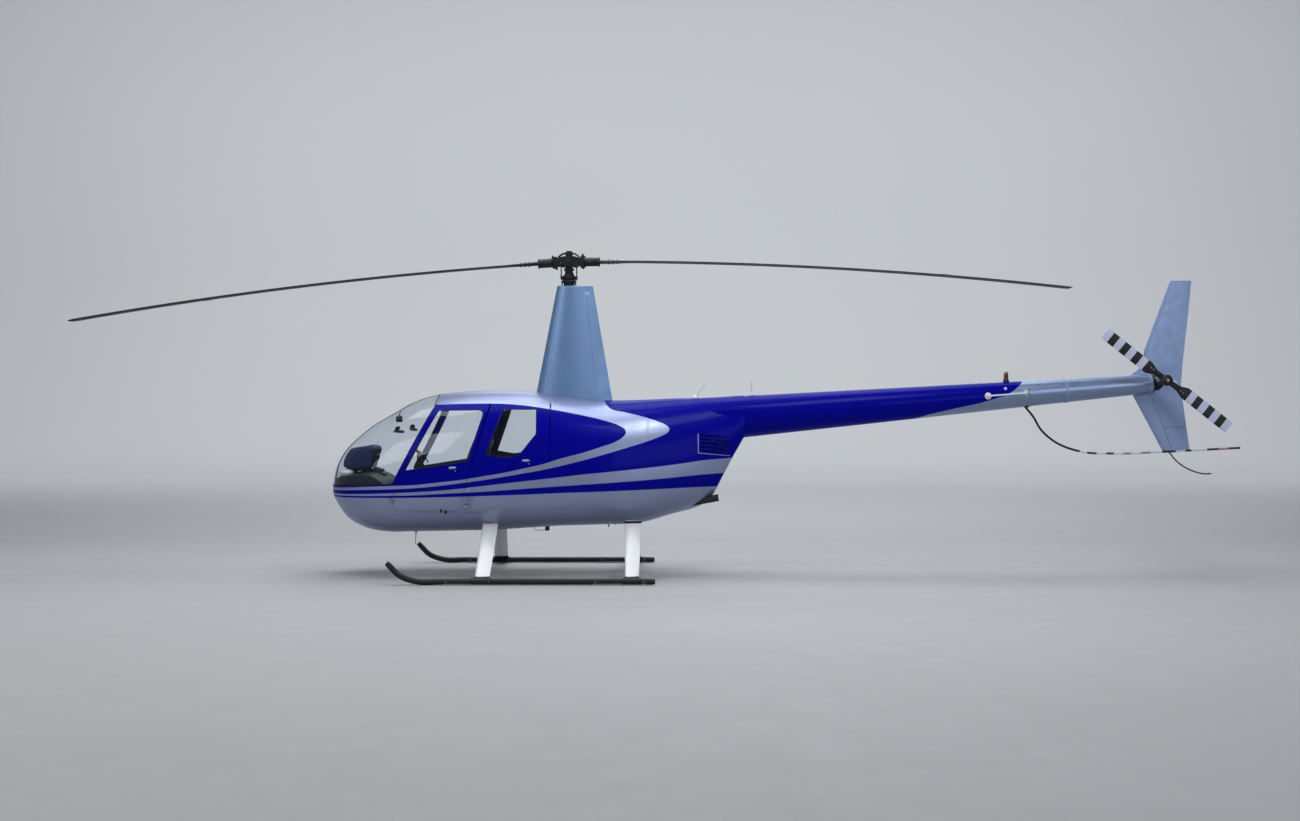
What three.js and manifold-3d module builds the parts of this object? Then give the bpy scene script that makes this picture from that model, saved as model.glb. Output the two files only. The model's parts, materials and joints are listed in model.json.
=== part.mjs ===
// A light four-seat piston helicopter, parked on its skids with its doors closed.
// Millimetres, +Z up, nose towards -X, left side towards -Y, ground at z = 0.
// Stations (x) are measured aft from the main rotor mast; the last group moves them to the part's own frame.
import * as THREE from "three";
import { mergeVertices } from "three/addons/utils/BufferGeometryUtils.js";
import Module from "manifold-3d";

const wasm = await Module();
wasm.setup();

// Driving dimensions
const ROTOR_RADIUS = 5010;
const TAIL_END_X = 6760;
const MAST_X = -(TAIL_END_X - ROTOR_RADIUS) / 2;
const FIT = 0.3; // gap between pieces that touch
const MERGE = 1e-3;
const REACH = 1500; // half length of a cutting prism, past either side of the fuselage

// Fuselage
const CABIN_WALL = 30;
const COWL_WALL = 8;
const GLASS = 4;
const SECTION_POINTS = 32;
const COWL_SEAM_X = 790;
const NOSE_LEAN_X = -1750; // ahead of this station walls are set in along x as well
const NOSE_LEAN_LENGTH = 600;
const DOOR_GAP = 6;
const DOOR_EASE = 13; // a door's upper rear corner is eased forward, to clear its frame as it swings
const POST_HALF = 18; // half width of the windshield's centre post
const POST_DEPTH = 10;

// Cabin
const FLOOR_TOP = 615;
const FLOOR_THICK = 30;
const FLOOR_FRONT_X = -2060;
const FIREWALL_X = -125;
const FIREWALL_THICK = 30;

// Main rotor
const HUB_Z = 3117;
const CHORD = 254;
const BLADE_THICK = 22;
const TEETER_SLOPE = 0.0326; // the forward blade rests low and the aft blade high
const DROOP_SLOPE = 0.0262;
const DROOP_CURVE = 1.168e-5;
const MAST_RADIUS = 40;
const MAST_TOP = 3200;
const CUFF_RADIUS = 47.5;
const CUFF_INNER = 62;
const CUFF_OUTER = 310;
const LINK_X = 73; // the pitch links stand at this station, ahead and aft
const LINK_Y = 100;
const HORN_Z = 3085;
const FAIRING_TOP = 2876;
const SWASH_RADIUS = 82;
const SHAFT_CLEAR = 6; // running gap round the turning mast

// Tail
const CONE_FRONT_X = 1150;
const CONE_X = [1753, 5829];
const CONE_Z = [1568.5, 1898.5];
const CONE_R = [207.5, 93.5];
const CONE_WALL = 4;
const TAIL_AXIS_X = 5878;
const TAIL_AXIS_Z = 1928;
const TAIL_ROTOR_Y = -360;
const TAIL_ROTOR_RADIUS = 765;
const TAIL_BLADE_CHORD = 122;
const TAIL_HUB_RADIUS = 54;
const OUTPUT_END_Y = -280;
const TAIL_REST_DEG = 38.3; // the aft blade rests this far below level
const FIN_Y = 113;
const FIN_THICK = 26;
const FIN_SPLIT_Z = 1900;

// Landing gear
const SKID_Y = 1090;
const SKID_RADIUS = 28;
const SHOE_HEIGHT = 8;
const SKID_Z = SKID_RADIUS + SHOE_HEIGHT - 3;
const SKID_REAR_X = 860;
const SKID_BEND_X = -1400;
const TOE_X = -1655;
const TOE_Z = 205;

const paint = (color, roughness, metalness, extra = {}) =>
  new THREE.MeshStandardMaterial({ color, roughness, metalness, ...extra });

const BLUE = paint(0x0a0a8c, 0.2, 0.1);
const SILVER = paint(0x9a9fb4, 0.3, 0.7);
const WHITE = paint(0xe8e8ea, 0.3, 0);
const BLACK = paint(0x141416, 0.5, 0.1);
const ALUMINIUM = paint(0xb4b8bf, 0.35, 0.9);
const STEEL = paint(0x5a5c60, 0.4, 0.8);
const CLEAR = paint(0xcfe0ea, 0.05, 0, { transparent: true, opacity: 0.3 });
const RED = paint(0x6e0a08, 0.2, 0);
const LEATHER = paint(0x26262a, 0.8, 0);
const CARPET = paint(0x2b2d33, 0.95, 0);

// Geometry helpers
function solid(geometry) {
  const bare = new THREE.BufferGeometry();
  const flat = geometry.index ? geometry.toNonIndexed() : geometry;
  bare.setAttribute("position", flat.getAttribute("position").clone());
  const merged = mergeVertices(bare, MERGE);
  const index = merged.index.array;
  const faces = [];
  for (let i = 0; i < index.length; i += 3) {
    const [a, b, c] = [index[i], index[i + 1], index[i + 2]];
    if (a !== b && b !== c && c !== a) faces.push(a, b, c);
  }
  return new wasm.Manifold(
    new wasm.Mesh({
      numProp: 3,
      vertProperties: merged.attributes.position.array,
      triVerts: new Uint32Array(faces),
    }),
  );
}

// The body with the most volume: booleans may leave slivers beside it.
function largest(made) {
  return made.decompose().sort((a, b) => b.volume() - a.volume())[0];
}

const root = new THREE.Group();
root.name = "helicopter";
root.position.x = MAST_X;

function add(name, made, material) {
  const { vertProperties, triVerts, numProp } = made.getMesh();
  const count = vertProperties.length / numProp;
  const xyz = new Float32Array(count * 3);
  for (let i = 0; i < count; i++) {
    xyz.set(vertProperties.subarray(i * numProp, i * numProp + 3), i * 3);
  }
  const geometry = new THREE.BufferGeometry();
  geometry.setAttribute("position", new THREE.BufferAttribute(xyz, 3));
  geometry.setIndex(new THREE.BufferAttribute(new Uint32Array(triVerts), 1));
  geometry.computeVertexNormals();
  const mesh = new THREE.Mesh(geometry, material);
  mesh.name = name;
  root.add(mesh);
  return made;
}

// A closed skin through rings of points, each ring with the same count, with flat ends.
function loft(rings) {
  const count = rings[0].length;
  const xyz = [];
  const face = (a, b, c) => xyz.push(...a.toArray(), ...b.toArray(), ...c.toArray());
  for (let r = 0; r + 1 < rings.length; r++) {
    for (let i = 0; i < count; i++) {
      const j = (i + 1) % count;
      face(rings[r][i], rings[r][j], rings[r + 1][j]);
      face(rings[r][i], rings[r + 1][j], rings[r + 1][i]);
    }
  }
  const middle = (ring) =>
    ring.reduce((sum, p) => sum.add(p), new THREE.Vector3()).divideScalar(count);
  const [first, last] = [rings[0], rings[rings.length - 1]];
  const [firstMiddle, lastMiddle] = [middle(first), middle(last)];
  for (let i = 0; i < count; i++) {
    const j = (i + 1) % count;
    face(firstMiddle, first[j], first[i]);
    face(lastMiddle, last[i], last[j]);
  }
  const geometry = new THREE.BufferGeometry();
  geometry.setAttribute("position", new THREE.Float32BufferAttribute(xyz, 3));
  const made = solid(geometry);
  if (made.volume() > 0) return made;
  return loft(rings.map((ring) => [...ring].reverse()));
}

// A side-view outline of [x, z] points, extruded across the part from y0 to y1.
function prism(points, y0 = -REACH, y1 = REACH) {
  const shape = new THREE.Shape(points.map(([x, z]) => new THREE.Vector2(x, z)));
  const geometry = new THREE.ExtrudeGeometry(shape, { depth: y1 - y0, bevelEnabled: false });
  geometry.rotateX(Math.PI / 2);
  geometry.translate(0, y1, 0);
  return solid(geometry);
}

function box(x0, x1, y0, y1, z0, z1) {
  const geometry = new THREE.BoxGeometry(x1 - x0, y1 - y0, z1 - z0);
  geometry.translate((x0 + x1) / 2, (y0 + y1) / 2, (z0 + z1) / 2);
  return solid(geometry);
}

// A round bar, cone or disc between two points.
function rod(from, to, radius, endRadius = radius, sides = 16) {
  const a = new THREE.Vector3(...from);
  const b = new THREE.Vector3(...to);
  const geometry = new THREE.CylinderGeometry(endRadius, radius, a.distanceTo(b), sides);
  const turn = new THREE.Quaternion().setFromUnitVectors(
    new THREE.Vector3(0, 1, 0),
    b.clone().sub(a).normalize(),
  );
  geometry.applyQuaternion(turn);
  geometry.translate(...a.add(b).multiplyScalar(0.5).toArray());
  return solid(geometry);
}

// A round tube's outside along a curve.
function bar(curve, radius, steps, sides = 10) {
  const ring = [...Array(sides).keys()].map((i) => {
    const angle = (2 * Math.PI * i) / sides;
    return new THREE.Vector2(radius * Math.cos(angle), radius * Math.sin(angle));
  });
  const options = { extrudePath: curve, steps, bevelEnabled: false };
  const made = solid(new THREE.ExtrudeGeometry(new THREE.Shape(ring), options));
  return made;
}

function through(points) {
  return new THREE.CatmullRomCurve3(points.map((p) => new THREE.Vector3(...p)));
}

// A profile of [radius, z] pairs, turned about a vertical axis at x, y.
function turned(profile, x, y, sides = 24) {
  const points = profile.map(([r, z]) => new THREE.Vector2(r, z));
  const geometry = new THREE.LatheGeometry(points, sides);
  geometry.rotateX(Math.PI / 2);
  geometry.translate(x, y, 0);
  const made = solid(geometry);
  return made;
}

// An outline's edges moved outwards by a distance (inwards if it is negative).
function grow(points, distance) {
  const area = points.reduce((sum, [x, z], i) => {
    const [nx, nz] = points[(i + 1) % points.length];
    return sum + x * nz - nx * z;
  }, 0);
  const out = Math.sign(area) * distance;
  const edges = points.map(([x, z], i) => {
    const [nx, nz] = points[(i + 1) % points.length];
    const length = Math.hypot(nx - x, nz - z);
    const [ux, uz] = [(nx - x) / length, (nz - z) / length];
    return { x: x + uz * out, z: z - ux * out, ux, uz };
  });
  return edges.map((edge, i) => {
    const last = edges[(i + edges.length - 1) % edges.length];
    const cross = last.ux * edge.uz - last.uz * edge.ux;
    const along = ((edge.x - last.x) * edge.uz - (edge.z - last.z) * edge.ux) / cross;
    return [last.x + last.ux * along, last.z + last.uz * along];
  });
}

// An outline whose corners [x, z, radius] are rounded off.
function rounded(corners, steps = 5) {
  return corners.flatMap(([x, z, radius], i) => {
    const corner = new THREE.Vector2(x, z);
    const ways = [corners.at(i - 1), corners[(i + 1) % corners.length]].map(([nx, nz]) =>
      new THREE.Vector2(nx, nz).sub(corner).normalize(),
    );
    const cut = radius / Math.tan(ways[0].angleTo(ways[1]) / 2);
    const [start, end] = ways.map((way) => corner.clone().addScaledVector(way, cut));
    const arc = new THREE.QuadraticBezierCurve(start, corner, end).getPoints(steps);
    return arc.map((p) => p.toArray());
  });
}

// A symmetric streamlined outline: [along the chord from its nose, half across], thickest near 30 %.
function streamline(chord, thick, steps = 8) {
  const half = (s) =>
    5 * thick * (0.2969 * Math.sqrt(s) - 0.126 * s - 0.3516 * s ** 2 + 0.2843 * s ** 3 - 0.1036 * s ** 4);
  const share = [...Array(steps + 1).keys()].map((i) => (1 - Math.cos((Math.PI * i) / steps)) / 2);
  const upper = share.map((s) => [s * chord, Math.max(half(s), s === 0 ? 0 : 1)]);
  const lower = upper.slice(1).reverse();
  return [...upper, ...lower.map(([c, t]) => [c, -t])];
}

// Fuselage skin
// Columns: station x, crown z, belly z, widest z, half width, roundness above, roundness below.
const FUSELAGE = [
  [-2351, 885, 825, 855, 40, 2.0, 2.0],
  [-2338, 965, 768, 860, 140, 2.0, 2.0],
  [-2310, 1087, 718, 870, 232, 2.0, 2.0],
  [-2259, 1189, 640, 880, 325, 2.0, 2.1],
  [-2188, 1281, 558, 890, 410, 2.1, 2.2],
  [-2065, 1393, 486, 900, 490, 2.2, 2.4],
  [-1953, 1481, 448, 905, 532, 2.2, 2.6],
  [-1750, 1600, 424, 915, 580, 2.3, 2.8],
  [-1544, 1716, 430, 925, 606, 2.4, 3.0],
  [-1300, 1790, 434, 935, 626, 2.5, 3.0],
  [-1088, 1816, 438, 940, 635, 2.6, 3.0],
  [-820, 1833, 444, 945, 640, 2.6, 3.0],
  [-475, 1828, 462, 950, 640, 2.6, 3.0],
  [-100, 1788, 486, 960, 640, 2.5, 3.0],
  [310, 1735, 496, 985, 608, 2.3, 2.8],
  [740, 1738, 518, 1030, 520, 2.2, 2.6],
  [1020, 1750, 596, 1080, 437, 2.1, 2.4],
  [1320, 1756, 684, 1170, 336, 2.0, 2.2],
  [1440, 1762, 760, 1230, 296, 2.0, 2.1],
  [1750, 1782, 1150, 1480, 218, 2.0, 2.0],
];

const power = (value, exponent) => Math.sign(value) * Math.abs(value) ** exponent;

// One ring of the fuselage, its wall set in by inset.
function fuselageRing([x, top, bottom, wide, half, above, below], inset) {
  const lean = THREE.MathUtils.clamp((NOSE_LEAN_X - x) / NOSE_LEAN_LENGTH, 0, 1);
  const across = inset * (1 - 0.75 * lean);
  return [...Array(SECTION_POINTS).keys()].map((i) => {
    const angle = (2 * Math.PI * i) / SECTION_POINTS;
    const round = Math.sin(angle) >= 0 ? above : below;
    const rise = Math.sin(angle) >= 0 ? top - wide : wide - bottom;
    return new THREE.Vector3(
      x + inset * lean,
      (half - across) * power(Math.cos(angle), 2 / round),
      wide + (rise - across) * power(Math.sin(angle), 2 / round),
    );
  });
}

function fuselage(inset) {
  return loft(FUSELAGE.map((row) => fuselageRing(row, inset)));
}

const OUTSIDE = fuselage(0);
const AROUND = fuselage(-FIT);
const CABIN_INSIDE = fuselage(CABIN_WALL);
const CABIN_FIT = fuselage(CABIN_WALL + FIT);
const COWL_INSIDE = fuselage(COWL_WALL);
const COWL_FIT = fuselage(COWL_WALL + FIT);
const CABIN_SKIN = OUTSIDE.subtract(CABIN_INSIDE);
const GLASS_SKIN = OUTSIDE.subtract(fuselage(GLASS));

// Side-view outlines, [x, z]
const WINDSHIELD = [
  [-2500, 885],
  [-1684, 924],
  [-1295, 1673],
  [-1235, 2000],
  [-2500, 2000],
];
const FRONT_DOOR = [
  [-1640, 655],
  [-1040, 655],
  [-735, 1700],
  [-1240, 1700],
  [-1590, 1030],
  [-1635, 885],
  [-1690, 835],
  [-1690, 720],
];
const FRONT_WINDOW = rounded([
  [-1556, 1052, 10],
  [-948, 1145, 12],
  [-797, 1640, 52],
  [-1250, 1633, 16],
]);
const REAR_DOOR = [
  [-965, 640],
  [-850, 648],
  [-380, 800],
  [-215, 930],
  [-155, 1130],
  [-155, 1700],
  [-648, 1700],
  [-975, 665],
];
const REAR_WINDOW = rounded([
  [-775, 1208, 14],
  [-600, 1178, 100],
  [-455, 1200, 100],
  [-290, 1408, 20],
  [-296, 1644, 14],
  [-615, 1644, 14],
]);
const COWL_END = [
  [1370, 400],
  [1370, 645],
  [1440, 795],
  [1550, 1015],
  [1636, 1177],
  [1746, 1368],
  [1746, 2200],
  [2400, 2200],
  [2400, 400],
];
const SIDES = { left: -1, right: 1 };

// The half space of one side, as a prism's y range.
function sidePrism(points, side) {
  const [near, far] = [120, REACH];
  return side < 0 ? prism(points, -far, -near) : prism(points, near, far);
}

// A door panel's outline: a gap inside its opening, with the upper rear corner eased forward.
function panelOutline(opening) {
  const points = grow(opening, -DOOR_GAP);
  const corner = points.reduce((best, p) => (p[0] + p[1] > best[0] + best[1] ? p : best));
  corner[0] -= DOOR_EASE;
  return points;
}

// Door hinges: two knuckles stand on each other outside the skin, one with an arm into the frame
// ahead of it, one with an arm into the door behind it.
// Columns: door, axis station, axis distance from the centre plane, foot height,
// station where the arm enters the door, length of the arm into the frame, depth of both arms.
const HINGES = [
  ["front", -1690, 598, 728, -1680, 28, 32],
  ["front", -1690, 598, 788, -1680, 28, 32],
  ["rear", -978, 652, 684, -946, 14, 58],
  ["rear", -978, 652, 760, -920, 14, 46],
];
const KNUCKLE = { radius: 9, height: 18, arm: 8 };

function hingeLeaf(side, [, x, y, foot, doorX, frameArm, depth], onDoor) {
  const z = onDoor ? foot + KNUCKLE.height + FIT : foot;
  const top = z + KNUCKLE.height;
  const across = (inner, outer) => [side * inner, side * outer].sort((a, b) => a - b);
  const knuckle = rod([x, side * y, z], [x, side * y, top], KNUCKLE.radius, KNUCKLE.radius, 12);
  const outer = across(y - KNUCKLE.arm / 2, y + KNUCKLE.arm / 2);
  const inner = across(y - depth, y + KNUCKLE.arm / 2);
  const stations = onDoor ? [x, doorX + 22, doorX, doorX + 22] : [x - frameArm, x, x - frameArm, x - 4];
  return knuckle
    .add(box(stations[0], stations[1], ...outer, z, top))
    .add(box(stations[2], stations[3], ...inner, z, top));
}

function withHinges(made, kind, side, onDoor) {
  return HINGES.filter(([door]) => door === kind).reduce(
    (sum, hinge) => sum.add(hingeLeaf(side, hinge, onDoor)),
    made,
  );
}

// Doors and their windows
function addDoor(kind, label, outline, pane, side) {
  const name = `${kind}_${label}`;
  const opening = sidePrism(panelOutline(outline), side);
  const panel = CABIN_SKIN.intersect(opening).subtract(sidePrism(pane, side));
  add(`${name}_door`, largest(withHinges(panel, kind, side, true)), BLUE);
  const window = GLASS_SKIN.intersect(sidePrism(grow(pane, -FIT), side));
  add(`${name}_window`, largest(window), CLEAR);
}

for (const [label, side] of Object.entries(SIDES)) {
  addDoor("front", label, FRONT_DOOR, FRONT_WINDOW, side);
  addDoor("rear", label, REAR_DOOR, REAR_WINDOW, side);
}

// Landing lights, set in the chin
const LAMP_RADIUS = 52;
const LAMP_Y = 150;
const LAMP_Z = 742;
const LAMP_DEPTH = 90;
const lampBar = (side, radius) =>
  rod([-2400, side * LAMP_Y, LAMP_Z], [-2290 + LAMP_DEPTH, side * LAMP_Y, LAMP_Z], radius, radius, 20);

// Cabin shell: nose, floor pan, pillars, roof and the side walls back to the cowl seam
function addCabinShell() {
  let shell = CABIN_SKIN.intersect(box(-REACH * 2, COWL_SEAM_X, -REACH, REACH, 0, 2 * REACH));
  const strip = box(-REACH * 2, 0, -POST_HALF, POST_HALF, 0, 2 * REACH);
  const post = OUTSIDE.subtract(fuselage(POST_DEPTH)).intersect(prism(grow(WINDSHIELD, 2))).intersect(strip);
  shell = shell.subtract(prism(WINDSHIELD)).add(post);
  for (const side of Object.values(SIDES)) {
    shell = shell.subtract(sidePrism(FRONT_DOOR, side)).subtract(sidePrism(REAR_DOOR, side));
    shell = shell.subtract(lampBar(side, LAMP_RADIUS + FIT));
    shell = withHinges(withHinges(shell, "front", side, false), "rear", side, false);
  }
  const bore = MAST_RADIUS + SHAFT_CLEAR;
  shell = shell.subtract(rod([0, 0, 1610], [0, 0, 2000], bore, bore, 24));
  add("cabin_shell", largest(shell), BLUE);
  const pane = GLASS_SKIN.intersect(prism(grow(WINDSHIELD, -FIT)));
  for (const [label, side] of Object.entries(SIDES)) {
    const [y0, y1] = [POST_HALF + FIT, REACH];
    const half = side < 0 ? [-y1, -y0] : [y0, y1];
    const kept = pane.intersect(box(-REACH * 2, 0, ...half, 0, 2 * REACH));
    add(`windshield_${label}`, largest(kept), CLEAR);
    const lamp = OUTSIDE.intersect(lampBar(side, LAMP_RADIUS));
    add(`landing_light_${label}`, largest(lamp), CLEAR);
  }
}
addCabinShell();

// Tailcone: a tapered tube, its front flange seated inside the engine cowl
const coneSlope = (CONE_Z[1] - CONE_Z[0]) / (CONE_X[1] - CONE_X[0]);
const coneTaper = (CONE_R[1] - CONE_R[0]) / (CONE_X[1] - CONE_X[0]);
const coneZ = (x) => CONE_Z[0] + coneSlope * (x - CONE_X[0]);
const coneR = (x) => CONE_R[0] + coneTaper * (x - CONE_X[0]);

function cone(x0, x1, change) {
  return rod([x0, 0, coneZ(x0)], [x1, 0, coneZ(x1)], coneR(x0) + change, coneR(x1) + change, 28);
}

const FLANGE_THICK = 12;
const FLANGE_FOOT = 1240;
const END_PLATE = 10;

function addTailcone() {
  const flange = COWL_FIT.intersect(
    box(CONE_FRONT_X, CONE_FRONT_X + FLANGE_THICK, -REACH, REACH, FLANGE_FOOT, 2 * REACH),
  );
  const bore = cone(CONE_FRONT_X - 50, CONE_X[1] - END_PLATE, -CONE_WALL);
  const tube = cone(CONE_FRONT_X, CONE_X[1], 0).add(flange).subtract(bore);
  add("tailcone", largest(tube), BLUE);
}
addTailcone();

// Exhaust, from the engine's lower rear corner out under the cowl's lip
const PIPE_RADIUS = 35;
const PIPE_Y = -150;
const ENGINE_REAR_X = 620;
const PIPE_ROUTE = [
  [ENGINE_REAR_X - 20, PIPE_Y, 645],
  [900, PIPE_Y, 662],
  [1250, PIPE_Y, 722],
  [1490, PIPE_Y, 766],
];

// Cooling louvres in both sides of the cowl: slots above each other, falling slightly aft
const LOUVRES = { count: 5, x: [1305, 1590], z: 1232, pitch: 37, height: 15, fall: 30 };

function louvreSlots() {
  const [x0, x1] = LOUVRES.x;
  const slots = [...Array(LOUVRES.count).keys()].map((i) => {
    const z = LOUVRES.z + i * LOUVRES.pitch;
    const [low, high] = [z - LOUVRES.fall, z - LOUVRES.fall + LOUVRES.height];
    return prism([[x0, z], [x1, low], [x1, high], [x0, z + LOUVRES.height]]);
  });
  return slots.reduce((sum, slot) => sum.add(slot));
}

function addCowl() {
  let cowl = OUTSIDE.subtract(COWL_INSIDE);
  cowl = cowl.intersect(box(COWL_SEAM_X + FIT, 2 * REACH, -REACH, REACH, 0, 2 * REACH));
  cowl = cowl.subtract(prism(COWL_END));
  cowl = cowl.subtract(cone(CONE_FRONT_X - FIT, CONE_X[1], FIT));
  cowl = cowl.subtract(bar(through(PIPE_ROUTE), PIPE_RADIUS + 3, 10, 12));
  add("engine_cowl", largest(cowl.subtract(louvreSlots())), BLUE);
}
addCowl();

// Power plant, plain where it is closed in
function addPowerPlant() {
  const rear = FIREWALL_X + FIREWALL_THICK;
  const wall = box(FIREWALL_X, rear, -REACH, REACH, 0, 2 * REACH);
  add("firewall", CABIN_FIT.intersect(wall), ALUMINIUM);
  add("main_gearbox", box(rear + FIT, 200, -140, 140, 1250, 1600), STEEL);
  const block = (gap) => box(rear + FIT, ENGINE_REAR_X + gap, -330, 330, 615, 1090);
  add("engine_block", block(0), STEEL);
  const scroll = [
    [120, ENGINE_REAR_X + FIT],
    [300, ENGINE_REAR_X + FIT],
    [300, ENGINE_REAR_X + 150],
    [230, ENGINE_REAR_X + 190],
    [210, ENGINE_REAR_X + 190],
    [210, ENGINE_REAR_X + 40],
    [120, ENGINE_REAR_X + 40],
    [120, ENGINE_REAR_X + FIT],
  ];
  const points = scroll.map(([r, x]) => new THREE.Vector2(r, x));
  const ring = new THREE.LatheGeometry(points, 28);
  ring.rotateZ(-Math.PI / 2);
  ring.translate(0, 0, 985);
  add("fan_scroll", solid(ring), WHITE);
  const pipe = bar(through(PIPE_ROUTE), PIPE_RADIUS, 10, 12);
  add("exhaust_pipe", pipe.subtract(block(FIT)), BLACK);
}
addPowerPlant();

// Mast fairing: a hollow streamlined tower on the roof
const FAIRING = { foot: [-329, 754, 215], head: [-118, 357, 130], footZ: 1790 };
const FAIRING_WALL = 5;
const FAIRING_CAP = 10;

function fairing(z0, z1, wall) {
  const at = (z) => {
    const share = (z - FAIRING.footZ) / (FAIRING_TOP - FAIRING.footZ);
    const [nose, chord, thick] = FAIRING.foot.map((v, i) => v + share * (FAIRING.head[i] - v));
    return streamline(chord - 2.6 * wall, thick - 2 * wall, 10).map(
      ([c, t]) => new THREE.Vector3(nose + wall + c, t, z),
    );
  };
  return loft([at(z0), at(z1)]);
}

function addFairing() {
  let tower = fairing(1600, FAIRING_TOP, 0);
  tower = tower.subtract(fairing(1500, FAIRING_TOP - FAIRING_CAP, FAIRING_WALL)).subtract(AROUND);
  const bore = MAST_RADIUS + SHAFT_CLEAR;
  tower = tower.subtract(rod([0, 0, 2000], [0, 0, 2 * REACH], bore, bore, 24));
  add("mast_fairing", largest(tower), SILVER);
  const ring = rod([0, 0, FAIRING_TOP + FIT], [0, 0, 2930], SWASH_RADIUS, SWASH_RADIUS, 24);
  const hole = rod([0, 0, FAIRING_TOP - 9], [0, 0, 2940], bore, bore, 24);
  add("swashplate_lower", ring.subtract(hole), STEEL);
}
addFairing();

// Main rotor: mast, teetering hub, two drooping blades, turning swashplate with pitch links
const bladeZ = (r, side) => HUB_Z - DROOP_SLOPE * r - DROOP_CURVE * r * r + side * TEETER_SLOPE * r;

// Columns: radius, chord, thickness, share of the chord ahead of the blade's axis.
const BLADE = [
  [240, 84, 44, 0.5],
  [420, 170, 36, 0.34],
  [640, CHORD, BLADE_THICK, 0.27],
  [1500, CHORD, BLADE_THICK, 0.25],
  [2400, CHORD, BLADE_THICK, 0.25],
  [3300, CHORD, BLADE_THICK, 0.25],
  [4200, CHORD, BLADE_THICK, 0.25],
  [4950, CHORD, BLADE_THICK, 0.25],
  [ROTOR_RADIUS, 215, 18, 0.2],
];

function mainBlade(side) {
  const rings = BLADE.map(([r, chord, thick, ahead]) =>
    streamline(chord, thick, 7).map(
      ([c, t]) => new THREE.Vector3(side * r, side * (ahead * chord - c), bladeZ(r, side) + t),
    ),
  );
  const at = (r) => [side * r, 0, bladeZ(r, side)];
  const cuff = rod(at(CUFF_INNER), at(CUFF_OUTER), CUFF_RADIUS, CUFF_RADIUS, 18);
  const reach = [side * CUFF_INNER, side * (LINK_X + 24)].sort((a, b) => a - b);
  const across = [side * 20, side * (LINK_Y + 14)].sort((a, b) => a - b);
  const horn = box(...reach, ...across, HORN_Z, HORN_Z + 22);
  return loft(rings).add(cuff).add(horn);
}

function addMainRotor() {
  const mast = rod([0, 0, 1600 + FIT], [0, 0, MAST_TOP], MAST_RADIUS, MAST_RADIUS, 20);
  const nut = rod([0, 0, MAST_TOP - 5], [0, 0, 3227], 31, 27, 6);
  const shaft = mast.add(nut);
  add("rotor_mast", shaft, STEEL);
  const seat = rod([0, 0, 1600], [0, 0, 2 * REACH + 400], MAST_RADIUS + FIT, MAST_RADIUS + FIT, 20);
  const yoke = box(-58, 58, -62, 62, HUB_Z - 52, HUB_Z + 52);
  const bolt = rod([0, -78, HUB_Z], [0, 78, HUB_Z], 20, 20, 12);
  add("rotor_hub", yoke.add(bolt).subtract(seat), BLACK);
  add("forward_blade", mainBlade(-1), BLACK);
  add("aft_blade", mainBlade(1), BLACK);
  let swash = rod([0, 0, 2938], [0, 0, 2972], SWASH_RADIUS, SWASH_RADIUS, 24);
  for (const side of [-1, 1]) {
    const foot = [side * LINK_X, side * LINK_Y, 2955];
    swash = swash.add(rod([0, 0, 2955], foot, 12, 12, 10));
    swash = swash.add(rod([foot[0], foot[1], 2940], [foot[0], foot[1], HORN_Z - FIT], 9, 9, 10));
  }
  add("swashplate_upper", swash.subtract(seat), STEEL);
}
addMainRotor();

// Tail: gearbox, fins, stabilizer, tail rotor, guard and skid
const UPPER_FIN = [
  [5640, FIN_SPLIT_Z + FIT / 2],
  [5642, 1980],
  [5746, 2058],
  [5780, 2129],
  [5792, 2235],
  [6052, 2938],
  [6270, 2938],
  [6240, 2628],
  [6183, 2118],
  [6165, FIN_SPLIT_Z + FIT / 2],
];
const LOWER_FIN = [
  [5615, FIN_SPLIT_Z - FIT / 2],
  [5661, 1814],
  [5977, 1221],
  [6252, 1232],
  [6182, 1730],
  [6165, FIN_SPLIT_Z - FIT / 2],
];
const STABILIZER = { x: [5630, 6130], z: 1860, y: [FIN_Y + FIN_THICK / 2 + FIT, 930], thick: 36 };
const GUARD_RADIUS = 11;
const GUARD_ROUTE = [
  [4577, 0, coneZ(4577) - coneR(4577) - 12],
  [4653, 8, 1564],
  [4724, 16, 1446],
  [4867, 32, 1320],
  [5135, 62, 1218],
  [5500, 95, 1196],
  [5959, FIN_Y, 1211],
  [6214, FIN_Y, 1221],
  [TAIL_END_X, FIN_Y, 1252],
];
const TAIL_SKID_ROUTE = [
  [6050, FIN_Y, 1208],
  [6080, FIN_Y, 1163],
  [6160, FIN_Y, 1086],
  [6290, FIN_Y, 1017],
  [6393, FIN_Y, 991],
  [6471, FIN_Y, 993],
];

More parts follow.
